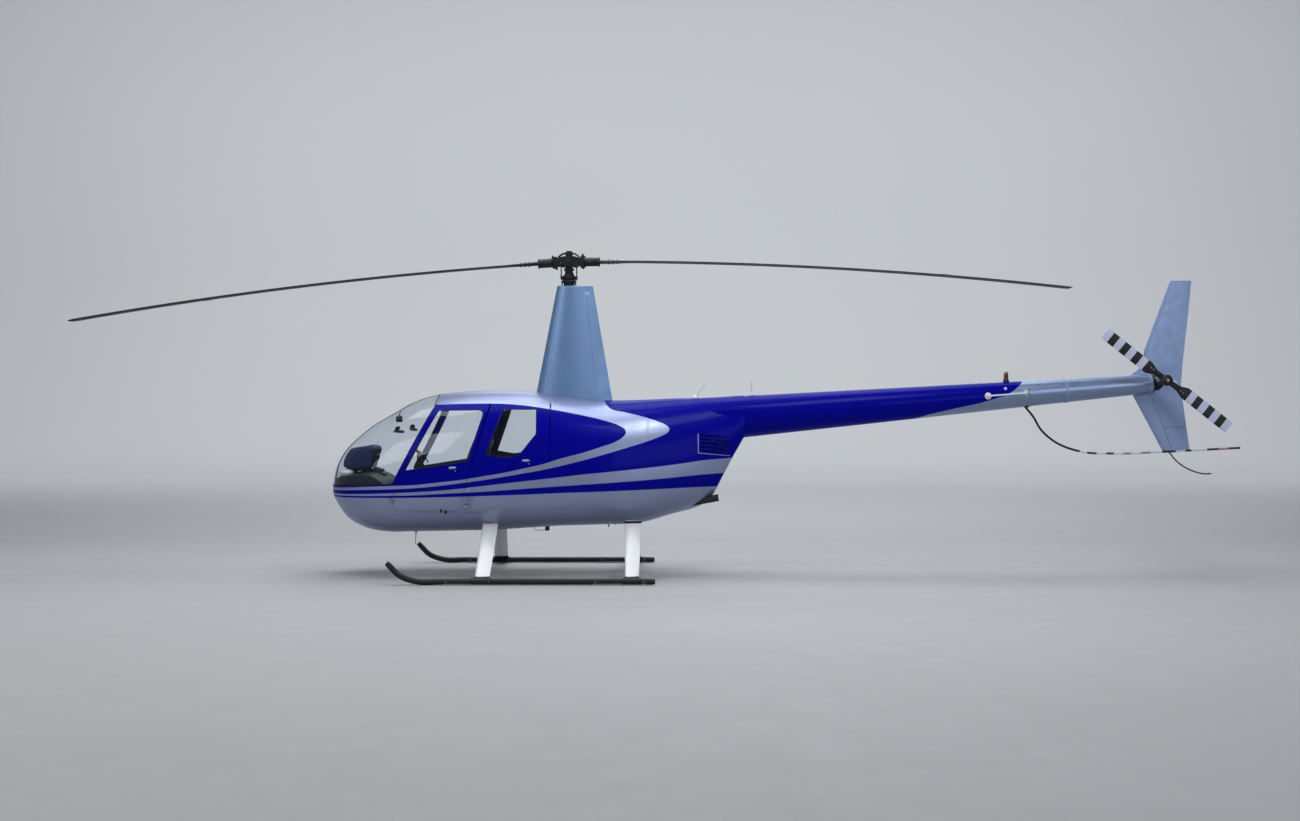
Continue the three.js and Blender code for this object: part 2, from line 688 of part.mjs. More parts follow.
function addTail() {
  const fin = (points) => prism(points, FIN_Y - FIN_THICK / 2, FIN_Y + FIN_THICK / 2);
  const envelope = cone(5400, CONE_X[1], FIT);
  add("upper_fin", largest(fin(UPPER_FIN).subtract(envelope)), SILVER);
  const around = bar(through(GUARD_ROUTE), GUARD_RADIUS + FIT, 44, 10);
  add("lower_fin", largest(fin(LOWER_FIN).subtract(envelope).subtract(around)), SILVER);
  const [x0, x1] = STABILIZER.x;
  const plane = STABILIZER.y.map((y) =>
    streamline(x1 - x0, STABILIZER.thick, 8).map(
      ([c, t]) => new THREE.Vector3(x0 + c, y, STABILIZER.z + t),
    ),
  );
  add("horizontal_stabilizer", loft(plane), SILVER);

  const end = CONE_X[1] + FIT;
  const casing = rod([end, 0, coneZ(end)], [end + 125, 0, coneZ(end + 125)], 72, 54, 16);
  const output = rod([TAIL_AXIS_X, 0, TAIL_AXIS_Z], [TAIL_AXIS_X, OUTPUT_END_Y, TAIL_AXIS_Z], 42, 30, 16);
  const lug = box(end + 20, 6000, 0, FIN_Y - FIN_THICK / 2 - FIT, TAIL_AXIS_Z - 30, TAIL_AXIS_Z + 30);
  add("tail_gearbox", casing.add(output).add(lug), BLACK);

  const guard = bar(through(GUARD_ROUTE), GUARD_RADIUS, 44, 10);
  add("tail_guard", guard.subtract(cone(4000, 5000, FIT)), WHITE);
  const skid = bar(through(TAIL_SKID_ROUTE), 7, 12, 8);
  add("tail_skid", largest(skid.subtract(around)), STEEL);
}
addTail();

function tailBlade(turn) {
  const angle = THREE.MathUtils.degToRad(TAIL_REST_DEG + turn);
  const out = new THREE.Vector3(Math.cos(angle), 0, -Math.sin(angle));
  const chordwise = new THREE.Vector3(Math.sin(angle), 0, Math.cos(angle));
  const centre = new THREE.Vector3(TAIL_AXIS_X, TAIL_ROTOR_Y, TAIL_AXIS_Z);
  // Columns: radius, chord, thickness.
  const stations = [
    [40, 46, 30],
    [140, 60, 26],
    [215, TAIL_BLADE_CHORD, 18],
    [TAIL_ROTOR_RADIUS, TAIL_BLADE_CHORD, 14],
  ];
  const rings = stations.map(([r, chord, thick]) =>
    streamline(chord, thick, 6).map(([c, t]) => {
      const point = centre.clone().addScaledVector(out, r);
      point.addScaledVector(chordwise, c - 0.4 * chord);
      point.y += t;
      return point;
    }),
  );
  return loft(rings);
}

function addTailRotor() {
  const disc = (gap) =>
    rod(
      [TAIL_AXIS_X, TAIL_ROTOR_Y + 28 + gap, TAIL_AXIS_Z],
      [TAIL_AXIS_X, TAIL_ROTOR_Y - 32 - gap, TAIL_AXIS_Z],
      TAIL_HUB_RADIUS + gap,
      TAIL_HUB_RADIUS + gap,
      18,
    );
  const shaft = rod(
    [TAIL_AXIS_X, OUTPUT_END_Y - FIT, TAIL_AXIS_Z],
    [TAIL_AXIS_X, TAIL_ROTOR_Y, TAIL_AXIS_Z],
    26,
    26,
    14,
  );
  add("tail_rotor_hub", disc(0).add(shaft), BLACK);
  add("tail_blade_aft", largest(tailBlade(0).subtract(disc(FIT))), WHITE);
  add("tail_blade_forward", largest(tailBlade(180).subtract(disc(FIT))), WHITE);
}
addTailRotor();

// Landing gear
function skidCurve(side) {
  const y = side * SKID_Y;
  return through([
    [SKID_REAR_X, y, SKID_Z],
    [250, y, SKID_Z],
    [-500, y, SKID_Z],
    [-1150, y, SKID_Z],
    [SKID_BEND_X, y, SKID_Z + 6],
    [-1530, y, SKID_Z + 52],
    [TOE_X, y, TOE_Z],
  ]);
}

// Columns: name, station at the top, station at the skid, chord at the top, chord at the skid.
const LEGS = [
  ["front", -740, -770, 150, 140],
  ["rear", 646, 640, 162, 130],
];
const LEG_THICK = 62;
const LEG_TOP = { y: 440, z: 560 };
// Columns: front and rear end of each flat wear shoe under a skid.
const SHOES = [
  [-1150, -650],
  [250, 800],
];

function addLandingGear() {
  for (const [label, side] of Object.entries(SIDES)) {
    let skid = bar(skidCurve(side), SKID_RADIUS, 26, 12);
    for (const [x0, x1] of SHOES) {
      skid = skid.add(box(x0, x1, side * SKID_Y - 22, side * SKID_Y + 22, 0, SKID_Z - 8));
    }
    add(`${label}_skid`, skid, BLACK);
    const around = bar(skidCurve(side), SKID_RADIUS + FIT, 26, 12);
    for (const [name, topX, footX, topChord, footChord] of LEGS) {
      const ring = (x, chord, y, z) =>
        streamline(chord, LEG_THICK, 8).map(
          ([c, t]) => new THREE.Vector3(x - chord / 2 + c, side * y + t, z),
        );
      const foot = ring(footX, footChord, SKID_Y, SKID_Z);
      const leg = loft([foot, ring(topX, topChord, LEG_TOP.y, LEG_TOP.z)]);
      add(`${name}_${label}_leg`, largest(leg.subtract(around).subtract(AROUND)), WHITE);
    }
  }
}
addLandingGear();

// Cabin inside
const SEAT_Y = [55, 505];
const FRONT_BOX = { x: [-1450, -990], top: 800 };
const REAR_BOX = { x: [-640, FIREWALL_X - FIT], top: 860 };
const FRONT_SEAT = [
  [-1470, FRONT_BOX.top + FIT],
  [-1470, 925],
  [-1060, 890],
  [-875, 1400],
  [-785, 1400],
  [-980, FRONT_BOX.top + FIT],
];
const REAR_SEAT = [
  [-690, REAR_BOX.top + FIT],
  [-690, 985],
  [-270, 960],
  [-235, 1480],
  [-145, 1480],
  [-140, REAR_BOX.top + FIT],
];
const CONSOLE_FOOT = [
  [-1960, FLOOR_TOP + FIT],
  [-1730, FLOOR_TOP + FIT],
  [-1830, 960],
  [-1930, 1120],
  [-2060, 1120],
];
const CONSOLE_POD = [
  [-2130, 1018],
  [-1945, 1040],
  [-1890, 1262],
  [-1925, 1286],
  [-2165, 1250],
  [-2235, 1100],
];

function addCabin() {
  const slab = box(FLOOR_FRONT_X, FIREWALL_X - FIT, -REACH, REACH, FLOOR_TOP - FLOOR_THICK, FLOOR_TOP);
  let floor = slab;
  const step = FLOOR_TOP - 5;
  floor = floor.add(box(...REAR_BOX.x, -520, 520, step, REAR_BOX.top));
  for (const side of Object.values(SIDES)) {
    const span = SEAT_Y.map((y) => side * y).sort((a, b) => a - b);
    floor = floor.add(box(...FRONT_BOX.x, ...span, step, FRONT_BOX.top));
  }
  add("cabin_floor", floor.intersect(CABIN_FIT), CARPET);
  for (const [label, side] of Object.entries(SIDES)) {
    const span = SEAT_Y.map((y) => side * y).sort((a, b) => a - b);
    add(`front_${label}_seat`, prism(FRONT_SEAT, ...span), LEATHER);
    const rear = [8, 510].map((y) => side * y).sort((a, b) => a - b);
    add(`rear_${label}_seat`, prism(REAR_SEAT, ...rear), LEATHER);
  }
  const pedestal = prism(CONSOLE_FOOT, -90, 90);
  add("instrument_console", pedestal.add(prism(CONSOLE_POD, -165, 165)), BLACK);
  const stick = rod([-1563, 0, FLOOR_TOP - 20], [-1490, 0, 1165], 15, 15, 12);
  const yoke = rod([-1490, -300, 1165], [-1490, 300, 1165], 12, 12, 12);
  let cyclic = stick.add(yoke);
  for (const side of Object.values(SIDES)) {
    cyclic = cyclic.add(rod([-1490, side * 292, 1170], [-1490, side * 292, 1040], 16, 16, 12));
  }
  const above = box(-2 * REACH, 0, -REACH, REACH, FLOOR_TOP + FIT, REACH);
  add("cyclic_stick", cyclic.intersect(above), BLACK);
}
addCabin();

// Beacon and antennas
const BEACON_X = 4377;
const ROOF_ANTENNA = { foot: [1262, 0, 1745], tip: [1372, 0, 1913], pad: 34 };
const CONE_ANTENNA = { foot: [1828, 0, 1755], tip: [1828, 0, 1923], pad: 22 };
const BELLY_ANTENNA = { foot: [-1533, 0, 445], tip: [-1538, 0, 290], pad: 20 };
const SIDE_ANTENNA = { x: [4171, 4554], z: [1775, 1805], out: 42, radius: 8, pad: 34 };

function whip({ foot, tip, pad }) {
  const low = new THREE.Vector3(...foot);
  const up = new THREE.Vector3(0, 0, Math.sign(tip[2] - foot[2]));
  const base = [low.clone().addScaledVector(up, -10), low.clone().addScaledVector(up, 27)];
  return rod(foot, tip, 7, 4, 10).add(rod(...base.map((p) => p.toArray()), pad, 0.75 * pad, 14));
}

// A bar along the tailcone's left side, on a padded post at each end
function sideAntenna() {
  const [front, rear] = SIDE_ANTENNA.x.map((x, i) => [x, -(coneR(x) + SIDE_ANTENNA.out), SIDE_ANTENNA.z[i]]);
  return [front, rear].reduce((sum, [x, y, z]) => {
    const skin = -coneR(x);
    const post = rod([x, skin + 20, z], [x, y - SIDE_ANTENNA.radius, z], 12, 12, 12);
    return sum.add(post).add(rod([x, skin + 20, z], [x, skin - 6, z], SIDE_ANTENNA.pad, SIDE_ANTENNA.pad, 16));
  }, rod(front, rear, SIDE_ANTENNA.radius, SIDE_ANTENNA.radius, 12));
}

function addBeacon() {
  const seat = coneZ(BEACON_X) + coneR(BEACON_X) - 12;
  const dome = [
    [0, seat],
    [30, seat],
    [30, seat + 34],
    [23, seat + 42],
    [23, seat + 88],
    [15, seat + 110],
    [0, seat + 118],
  ];
  const lamp = turned(dome, BEACON_X, 0, 20);
  add("beacon", largest(lamp.subtract(cone(4000, 4800, FIT))), RED);
}
addBeacon();

function addAntennas() {
  const around = AROUND.add(cone(CONE_FRONT_X, 4900, FIT));
  add("roof_antenna", largest(whip(ROOF_ANTENNA).subtract(around)), WHITE);
  add("cone_antenna", largest(whip(CONE_ANTENNA).subtract(around)), WHITE);
  add("belly_antenna", largest(whip(BELLY_ANTENNA).subtract(around)), WHITE);
  add("side_antenna", largest(sideAntenna().subtract(around)), WHITE);
}
addAntennas();

export default root;
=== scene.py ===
"""A light four-seat piston helicopter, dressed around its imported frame.

Metres, +Z up, nose towards -X, left side towards -Y. Shapes are laid out by station, the distance
aft of the main rotor mast, and are moved to the frame when they become pieces.
"""

import json
import math

import bmesh
import bpy
import numpy as np
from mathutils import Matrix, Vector


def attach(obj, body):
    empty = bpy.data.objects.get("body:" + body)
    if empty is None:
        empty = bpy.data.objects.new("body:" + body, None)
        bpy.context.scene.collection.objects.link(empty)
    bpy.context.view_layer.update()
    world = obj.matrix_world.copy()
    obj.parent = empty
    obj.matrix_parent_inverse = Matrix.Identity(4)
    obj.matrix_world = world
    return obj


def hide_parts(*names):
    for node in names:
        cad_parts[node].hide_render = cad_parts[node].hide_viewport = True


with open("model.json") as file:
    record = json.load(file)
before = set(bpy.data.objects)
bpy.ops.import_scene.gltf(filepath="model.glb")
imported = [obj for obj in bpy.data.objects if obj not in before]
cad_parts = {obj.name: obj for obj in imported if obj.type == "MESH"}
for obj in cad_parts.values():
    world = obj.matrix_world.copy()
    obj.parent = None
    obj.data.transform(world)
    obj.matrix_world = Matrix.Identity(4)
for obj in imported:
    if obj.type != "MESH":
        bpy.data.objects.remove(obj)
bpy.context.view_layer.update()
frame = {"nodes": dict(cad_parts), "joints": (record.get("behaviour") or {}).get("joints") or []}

MAST_X = frame["joints"][0]["pos_m"][0]
SIDES = {"left": -1, "right": 1}
FIT = 0.0003


# Camera and light

CAMERA = {"station": 0.811, "y": -17.0, "z": 1.755, "lens": 47.0, "shift_y": -12.5 / 1300}


def add_camera():
    data = bpy.data.cameras.new("camera")
    data.lens = CAMERA["lens"]
    data.shift_y = CAMERA["shift_y"]
    data.clip_end = 200
    camera = bpy.data.objects.new("camera", data)
    camera.location = (CAMERA["station"] + MAST_X, CAMERA["y"], CAMERA["z"])
    camera.rotation_euler = (math.radians(90), 0, 0)
    bpy.context.scene.collection.objects.link(camera)
    bpy.context.scene.camera = camera


# Columns: name, place, what it looks at, width, height, watts, colour.
LAMPS = [
    ("overhead", (-1, 1.5, 11), (0, 0, 1), 14, 7, 1350, (0.93, 0.96, 1.0)),
    ("key", (-9, -13, 8), (0, 0, 1.2), 9, 6, 600, (1.0, 0.98, 0.95)),
    ("fill", (9, -14, 5), (1, 0, 1.2), 9, 6, 360, (0.92, 0.95, 1.0)),
    ("gleam", (2.4, -4.4, 8.2), (0.2, -0.4, 1.5), 2.4, 2.4, 200, (1.0, 0.99, 0.96)),
    ("back", (2, 11, 9), (0, 0, 1.5), 12, 4, 300, (0.95, 0.97, 1.0)),
    ("backdrop", (0, 15, 13), (0, 28, 3), 44, 3, 2000, (0.96, 0.98, 1.0)),
]


# The even light from all round: its colour and strength.
SKY = ((0.82, 0.87, 0.95, 1), 0.28)


def add_lights():
    for name, place, target, width, height, watts, colour in LAMPS:
        data = bpy.data.lights.new(name, "AREA")
        data.shape = "RECTANGLE"
        data.size = width
        data.size_y = height
        data.energy = watts
        data.color = colour
        lamp = bpy.data.objects.new(name, data)
        lamp.location = place
        aim = Vector(target) - Vector(place)
        lamp.rotation_euler = aim.to_track_quat("-Z", "Y").to_euler()
        bpy.context.scene.collection.objects.link(lamp)
    world = bpy.data.worlds.new("studio")
    world.use_nodes = True
    sky = world.node_tree.nodes["Background"]
    sky.inputs["Color"].default_value, sky.inputs["Strength"].default_value = SKY
    bpy.context.scene.world = world
    bpy.context.scene.view_settings.view_transform = "Standard"


# Shapes: each is a pair of points, by station, and faces

def combine(*shapes):
    points, faces, base = [], [], 0
    for xyz, polygons in shapes:
        points.append(np.asarray(xyz, float))
        faces += [[base + i for i in face] for face in polygons]
        base += len(xyz)
    return np.vstack(points), faces


def loft(rings, loop=False, caps=True):
    """A skin through rings of points, with flat ends, or joined end to end in a loop."""
    rings = np.asarray(rings, float)
    rows, count = rings.shape[:2]
    faces = []
    for r in range(rows if loop else rows - 1):
        here, there = r * count, (r + 1) % rows * count
        for i in range(count):
            j = (i + 1) % count
            faces.append((here + i, here + j, there + j, there + i))
    if caps and not loop:
        faces.append(tuple(reversed(range(count))))
        faces.append(tuple(range((rows - 1) * count, rows * count)))
    return rings.reshape(-1, 3), faces


def smooth(points, count):
    """A smooth curve through points, sampled at even steps of its chord length."""
    points = np.asarray(points, float)
    gaps = np.linalg.norm(np.diff(points[:, :5], axis=0), axis=1)
    knots = np.concatenate([[0], np.cumsum(gaps)])
    slope = np.diff(points, axis=0) / gaps[:, None]
    lean = np.empty_like(points)
    lean[0], lean[-1] = slope[0], slope[-1]
    before, after = gaps[:-1, None], gaps[1:, None]
    lean[1:-1] = (slope[:-1] * after + slope[1:] * before) / (before + after)
    place = np.linspace(0, knots[-1], count)
    i = np.clip(np.searchsorted(knots, place, side="right") - 1, 0, len(gaps) - 1)
    span = gaps[i][:, None]
    s = ((place - knots[i]) / gaps[i])[:, None]
    start = (2 * s**3 - 3 * s**2 + 1) * points[i] + (s**3 - 2 * s**2 + s) * span * lean[i]
    end = (3 * s**2 - 2 * s**3) * points[i + 1] + (s**3 - s**2) * span * lean[i + 1]
    return start + end


def unit(vectors):
    return vectors / np.maximum(np.linalg.norm(vectors, axis=-1, keepdims=True), 1e-12)


def tangents(path, loop=False):
    if loop:
        return unit(np.roll(path, -1, axis=0) - np.roll(path, 1, axis=0))
    return unit(np.gradient(path, axis=0))


def tube_rings(path, radius, sides):
    path = np.asarray(path, float)
    way = tangents(path)
    helper = np.array([0, 0, 1.0]) if abs(way[0][2]) < 0.9 else np.array([0, 1.0, 0])
    across = np.empty_like(path)
    for i, t in enumerate(way):
        helper = helper - t * helper.dot(t)
        helper = helper / np.linalg.norm(helper)
        across[i] = helper
    other = np.cross(way, across)
    angle = around(sides)
    size = np.broadcast_to(radius, len(path))[:, None, None]
    ring = across[:, None] * np.cos(angle)[:, None] + other[:, None] * np.sin(angle)[:, None]
    return path[:, None] + size * ring


def tube(path, radius, sides):
    """A round bar along a path; radius is one number, or one for each point."""
    return loft(tube_rings(path, radius, sides))


def rod(start, end, radius, end_radius, sides):
    return tube([start, end], [radius, end_radius], sides)


def around(count):
    """Even angles round a full turn."""
    return np.linspace(0, 2 * math.pi, count, endpoint=False)


def moulding(path, out, profile, loop):
    """A profile of (across, outwards) pairs, swept along a path whose outward ways are given."""
    path = np.asarray(path, float)
    side = unit(np.cross(tangents(path, loop), out))
    return loft([[p + a * s + h * o for a, h in profile] for p, s, o in zip(path, side, out)], loop)


def lathe(profile, centre, axis=(0, 0, 1), sides=32, loop=False):
    """A profile of (radius, height) pairs turned about an axis through centre."""
    turn = Vector((0, 0, 1)).rotation_difference(Vector(axis)).to_matrix()
    angle = around(sides)
    rings = [[(r * math.cos(a), r * math.sin(a), h) for a in angle] for r, h in profile]
    points, faces = loft(rings, loop)
    return points @ np.array(turn).T + np.array(centre), faces


def prism(outline, y0, y1):
    """A side-view outline of (station, height) pairs, extruded across from y0 to y1."""
    return loft([[(x, y, z) for x, z in outline] for y in (y0, y1)])


def block(low, high):
    """A box from its lowest to its highest corner."""
    outline = [(low[0], low[2]), (high[0], low[2]), (high[0], high[2]), (low[0], high[2])]
    return prism(outline, low[1], high[1])


def rounded(corners, steps=6):
    """An outline whose corners (station, height, radius) are rounded off."""
    points = []
    for i, (x, z, radius) in enumerate(corners):
        corner = np.array([x, z])
        ways = [unit(np.array(corners[k][:2]) - corner) for k in (i - 1, (i + 1) % len(corners))]
        cut = radius / math.tan(math.acos(ways[0].dot(ways[1])) / 2)
        start, end = (corner + cut * way for way in ways)
        for s in np.linspace(0, 1, steps + 1):
            points.append(tuple((1 - s) ** 2 * start + 2 * s * (1 - s) * corner + s**2 * end))
    return points


def grown(outline, distance):
    """An outline moved outwards by a distance, or inwards if it is negative."""
    points = np.asarray(outline, float)
    after = np.roll(points, -1, axis=0)
    area = np.sum(points[:, 0] * after[:, 1] - after[:, 0] * points[:, 1])
    way = unit(after - points)
    shift = np.sign(area) * distance
    moved = points + shift * np.stack([way[:, 1], -way[:, 0]], axis=1)
    before, last = np.roll(way, 1, axis=0), np.roll(moved, 1, axis=0)
    cross = before[:, 0] * way[:, 1] - before[:, 1] * way[:, 0]
    gap = moved - last
    straight = np.abs(cross) < 1e-9
    reach = (gap[:, 0] * way[:, 1] - gap[:, 1] * way[:, 0]) / np.where(straight, 1.0, cross)
    return [tuple(p) for p in np.where(straight[:, None], moved, last + before * reach[:, None])]


def dense(outline, step, closed=True):
    """The same outline with points every step or less along its edges."""
    points = []
    for a, b in zip(outline, outline[1:] + outline[:1] if closed else outline[1:]):
        count = max(1, math.ceil(math.dist(a, b) / step))
        points += [tuple(np.array(a) + (np.array(b) - np.array(a)) * i / count) for i in range(count)]
    return points if closed else points + [tuple(outline[-1])]


# Objects

def new_object(name, shape):
    points, faces = shape
    mesh = bpy.data.meshes.new(name)
    mesh.from_pydata([tuple(p) for p in np.asarray(points) + (MAST_X, 0, 0)], [], [tuple(f) for f in faces])
    mesh.update()
    made = bpy.data.objects.new(name, mesh)
    bpy.context.scene.collection.objects.link(made)
    return made


def shade_smooth(mesh, sharp=None):
    """Smooth shading, with edges sharper than an angle in degrees left crisp."""
    mesh.polygons.foreach_set("use_smooth", [True] * len(mesh.polygons))
    if sharp:
        mesh.set_sharp_from_angle(angle=math.radians(sharp))


def cover(made, finish_name):
    made.data.materials.clear()
    made.data.materials.append(MATERIALS[finish_name])


def take_shape(made):
    """The shape of a carved object, by station, with the object removed."""
    shape = (mesh_points(made.data), [tuple(face.vertices) for face in made.data.polygons])
    bpy.data.objects.remove(made)
    return shape


def tidy_faces(mesh):
    """Joins points in one place and turns every face outwards."""
    work = bmesh.new()
    work.from_mesh(mesh)
    bmesh.ops.remove_doubles(work, verts=work.verts, dist=1e-6)
    bmesh.ops.recalc_face_normals(work, faces=work.faces)
    work.to_mesh(mesh)
    work.free()


def keep(made, body, stands_for=()):
    """Says which body a piece rides on and which nodes it stands for."""
    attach(made, body)
    if stands_for:
        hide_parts(*stands_for)
    return made


def piece(name, parts, body, stands_for=(), sharp=35, bevel=0):
    """One shown piece from (shape, finish) pairs."""
    points, faces = combine(*(shape for shape, _ in parts))
    made = new_object(name, (points, faces))
    index = []
    for number, (shape, finish_name) in enumerate(parts):
        made.data.materials.append(MATERIALS[finish_name])
        index += [number] * len(shape[1])
    made.data.polygons.foreach_set("material_index", index)
    tidy_faces(made.data)
    shade_smooth(made.data, sharp)
    if bevel:
        soften(made, bevel)
    return keep(made, body, stands_for)


def soften(made, width):
    modifier = made.modifiers.new("edges", "BEVEL")
    modifier.width = width
    modifier.segments = 2
    modifier.harden_normals = True
    modifier.angle_limit = math.radians(40)


OPERATIONS = {"-": "DIFFERENCE", "&": "INTERSECT"}


def carve(made, *cuts):
    """Works (sign, shape) pairs into an object: - takes the shape away, & keeps only what is inside it."""
    for sign, shape in cuts:
        tool = new_object("tool", shape)
        tidy_faces(tool.data)
        modifier = made.modifiers.new("cut", "BOOLEAN")
        modifier.solver = "MANIFOLD"
        modifier.operation = OPERATIONS[sign]
        modifier.object = tool
        result = made.evaluated_get(bpy.context.evaluated_depsgraph_get())
        made.data = bpy.data.meshes.new_from_object(result)
        made.modifiers.clear()
        bpy.data.objects.remove(tool)
    return made


def copy_of(made, name):
    twin = bpy.data.objects.new(name, made.data.copy())
    bpy.context.scene.collection.objects.link(twin)
    return twin


# Fuselage
# Columns: station, crown, belly, height of the widest line, half width, roundness above and below it.
FUSELAGE = [
    (-2.355, 0.856, 0.854, 0.855, 0.0005, 2.0, 2.0),
    (-2.351, 0.885, 0.825, 0.855, 0.040, 2.0, 2.0),
    (-2.338, 0.965, 0.768, 0.860, 0.140, 2.0, 2.0),
    (-2.310, 1.087, 0.718, 0.870, 0.232, 2.0, 2.0),
    (-2.259, 1.189, 0.640, 0.880, 0.325, 2.0, 2.1),
    (-2.188, 1.281, 0.558, 0.890, 0.410, 2.1, 2.2),
    (-2.065, 1.393, 0.486, 0.900, 0.490, 2.2, 2.4),
    (-1.953, 1.481, 0.448, 0.905, 0.532, 2.2, 2.6),
    (-1.750, 1.600, 0.424, 0.915, 0.580, 2.3, 2.8),
    (-1.544, 1.716, 0.430, 0.925, 0.606, 2.4, 3.0),
    (-1.300, 1.790, 0.434, 0.935, 0.626, 2.5, 3.0),
    (-1.088, 1.816, 0.438, 0.940, 0.635, 2.6, 3.0),
    (-0.820, 1.833, 0.444, 0.945, 0.640, 2.6, 3.0),
    (-0.475, 1.828, 0.462, 0.950, 0.640, 2.6, 3.0),
    (-0.100, 1.788, 0.486, 0.960, 0.640, 2.5, 3.0),
    (0.310, 1.735, 0.496, 0.985, 0.608, 2.3, 2.8),
    (0.740, 1.738, 0.518, 1.030, 0.520, 2.2, 2.6),
    (1.020, 1.750, 0.596, 1.080, 0.437, 2.1, 2.4),
    (1.320, 1.756, 0.684, 1.170, 0.336, 2.0, 2.2),
    (1.440, 1.762, 0.760, 1.230, 0.296, 2.0, 2.1),
    (1.750, 1.782, 1.150, 1.480, 0.218, 2.0, 2.0),
]
NOSE_LEAN_X = -1.75  # ahead of this station walls are set in along x as well
NOSE_LEAN_LENGTH = 0.6
CABIN_WALL = 0.030
COWL_WALL = 0.008
GLASS = 0.004
COWL_SEAM_X = 0.790
DOOR_GAP = 0.006
DOOR_EASE = 0.013
POST_HALF = 0.018
POST_DEPTH = 0.010
REACH = 1.5
SKIN_RINGS = 260
SKIN_POINTS = 128
COARSE = (130, 96)  # rings and points of the skin's hidden inner walls
MAST_HOLE = 0.046
ROWS = smooth(FUSELAGE, 1400)


def quarter(half, rise, roundness, count):
    """Even steps along a quarter of a rounded section, from its side to its crown."""
    angle = np.linspace(0, math.pi / 2, 160)
    y = half * np.abs(np.cos(angle)) ** (2 / roundness)
    z = rise * np.abs(np.sin(angle)) ** (2 / roundness)
    length = np.concatenate([[0], np.cumsum(np.hypot(np.diff(y), np.diff(z)))])
    even = np.linspace(0, length[-1], count + 1)
    return np.interp(even, length, y), np.interp(even, length, z)


def section(row, inset, count):
    x, crown, belly, wide, half, above, below = row
    lean = min(max((NOSE_LEAN_X - x) / NOSE_LEAN_LENGTH, 0), 1)
    across = inset * (1 - 0.75 * lean)
    upper = quarter(half - across, crown - wide - across, above, count // 4)
    lower = quarter(half - across, wide - belly - across, below, count // 4)
    y = np.concatenate([upper[0][:-1], -upper[0][:0:-1], -lower[0][:-1], lower[0][:0:-1]])
    z = np.concatenate([upper[1][:-1], upper[1][:0:-1], -lower[1][:-1], -lower[1][:0:-1]])
    return np.stack([np.full(count, x + inset * lean), y, wide + z], axis=1)


def hull(inset, rings=SKIN_RINGS, count=SKIN_POINTS):
    """The fuselage as a closed solid, its wall set in by inset."""
    rows = [row for row in smooth(FUSELAGE, rings) if min(row[4], row[1] - row[3], row[3] - row[2]) > inset]
    return loft([section(row, inset, count) for row in rows])


def gauge(points):
    """Nought on the fuselage's skin, above it outside and below it inside."""
    x, y, z = points.T
    crown, belly, wide, half, above, below = (np.interp(x, ROWS[:, 0], ROWS[:, c]) for c in range(1, 7))
    upper = z >= wide
    roundness = np.where(upper, above, below)
    rise = np.maximum(np.where(upper, crown - wide, wide - belly), 1e-4)
    share = (np.abs(y) / np.maximum(half, 1e-4)) ** roundness + (np.abs(z - wide) / rise) ** roundness
    return share ** (1 / roundness) - 1


def climb(points, step=4e-4):
    """How fast the gauge grows along each axis."""
    ways = step * np.eye(3)
    return np.stack([gauge(points + way) - gauge(points - way) for way in ways], axis=1) / (2 * step)


def outward(points):
    return unit(climb(np.asarray(points, float)))


def on_skin(x, z, side=-1):
    """The skin's point at a station and height, on one side."""
    crown, belly, wide, half, above, below = (np.interp(x, ROWS[:, 0], ROWS[:, c]) for c in range(1, 7))
    rise, roundness = (crown - wide, above) if z >= wide else (wide - belly, below)
    share = min(abs(z - wide) / rise, 1)
    return np.array([x, side * half * (1 - share**roundness) ** (1 / roundness), z])


def crown_z(x):
    return float(np.interp(x, ROWS[:, 0], ROWS[:, 1]))


def belly_z(x):
    return float(np.interp(x, ROWS[:, 0], ROWS[:, 2]))


# Side-view outlines, (station, height) or (station, height, corner radius)
WINDSHIELD = [(-2.50, 0.885), (-1.684, 0.924), (-1.295, 1.673), (-1.235, 2.0), (-2.50, 2.0)]
FRONT_DOOR = [
    (-1.640, 0.655), (-1.040, 0.655), (-0.735, 1.700), (-1.240, 1.700), (-1.590, 1.030),
    (-1.635, 0.885), (-1.690, 0.835), (-1.690, 0.720),
]
FRONT_WINDOW = rounded([
    (-1.556, 1.052, 0.010), (-0.948, 1.145, 0.012), (-0.797, 1.640, 0.052), (-1.250, 1.633, 0.016),
])
REAR_DOOR = [
    (-0.965, 0.640), (-0.850, 0.648), (-0.380, 0.800), (-0.215, 0.930), (-0.155, 1.130),
    (-0.155, 1.700), (-0.648, 1.700), (-0.975, 0.665),
]
REAR_WINDOW = rounded([
    (-0.775, 1.208, 0.014), (-0.600, 1.178, 0.100), (-0.455, 1.200, 0.100),
    (-0.290, 1.408, 0.020), (-0.296, 1.644, 0.014), (-0.615, 1.644, 0.014),
])
COWL_END = [
    (1.370, 0.400), (1.370, 0.645), (1.440, 0.795), (1.550, 1.015), (1.636, 1.177), (1.746, 1.368),
    (1.746, 2.200), (2.400, 2.200), (2.400, 0.400),
]
LOUVRES = {"count": 5, "x": (1.305, 1.590), "z": 1.232, "pitch": 0.037, "height": 0.015, "fall": 0.030}
LAMP = {"radius": 0.052, "y": 0.150, "z": 0.742, "front": -2.40, "back": -2.20, "face": -2.262}

# Tailcone
CONE_FRONT_X = 1.150
CONE_X = (1.753, 5.829)
CONE_Z = (1.5685, 1.8985)
CONE_R = (0.2075, 0.0935)


def cone_z(x):
    return CONE_Z[0] + (CONE_Z[1] - CONE_Z[0]) * (x - CONE_X[0]) / (CONE_X[1] - CONE_X[0])


def cone_r(x):
    return CONE_R[0] + (CONE_R[1] - CONE_R[0]) * (x - CONE_X[0]) / (CONE_X[1] - CONE_X[0])


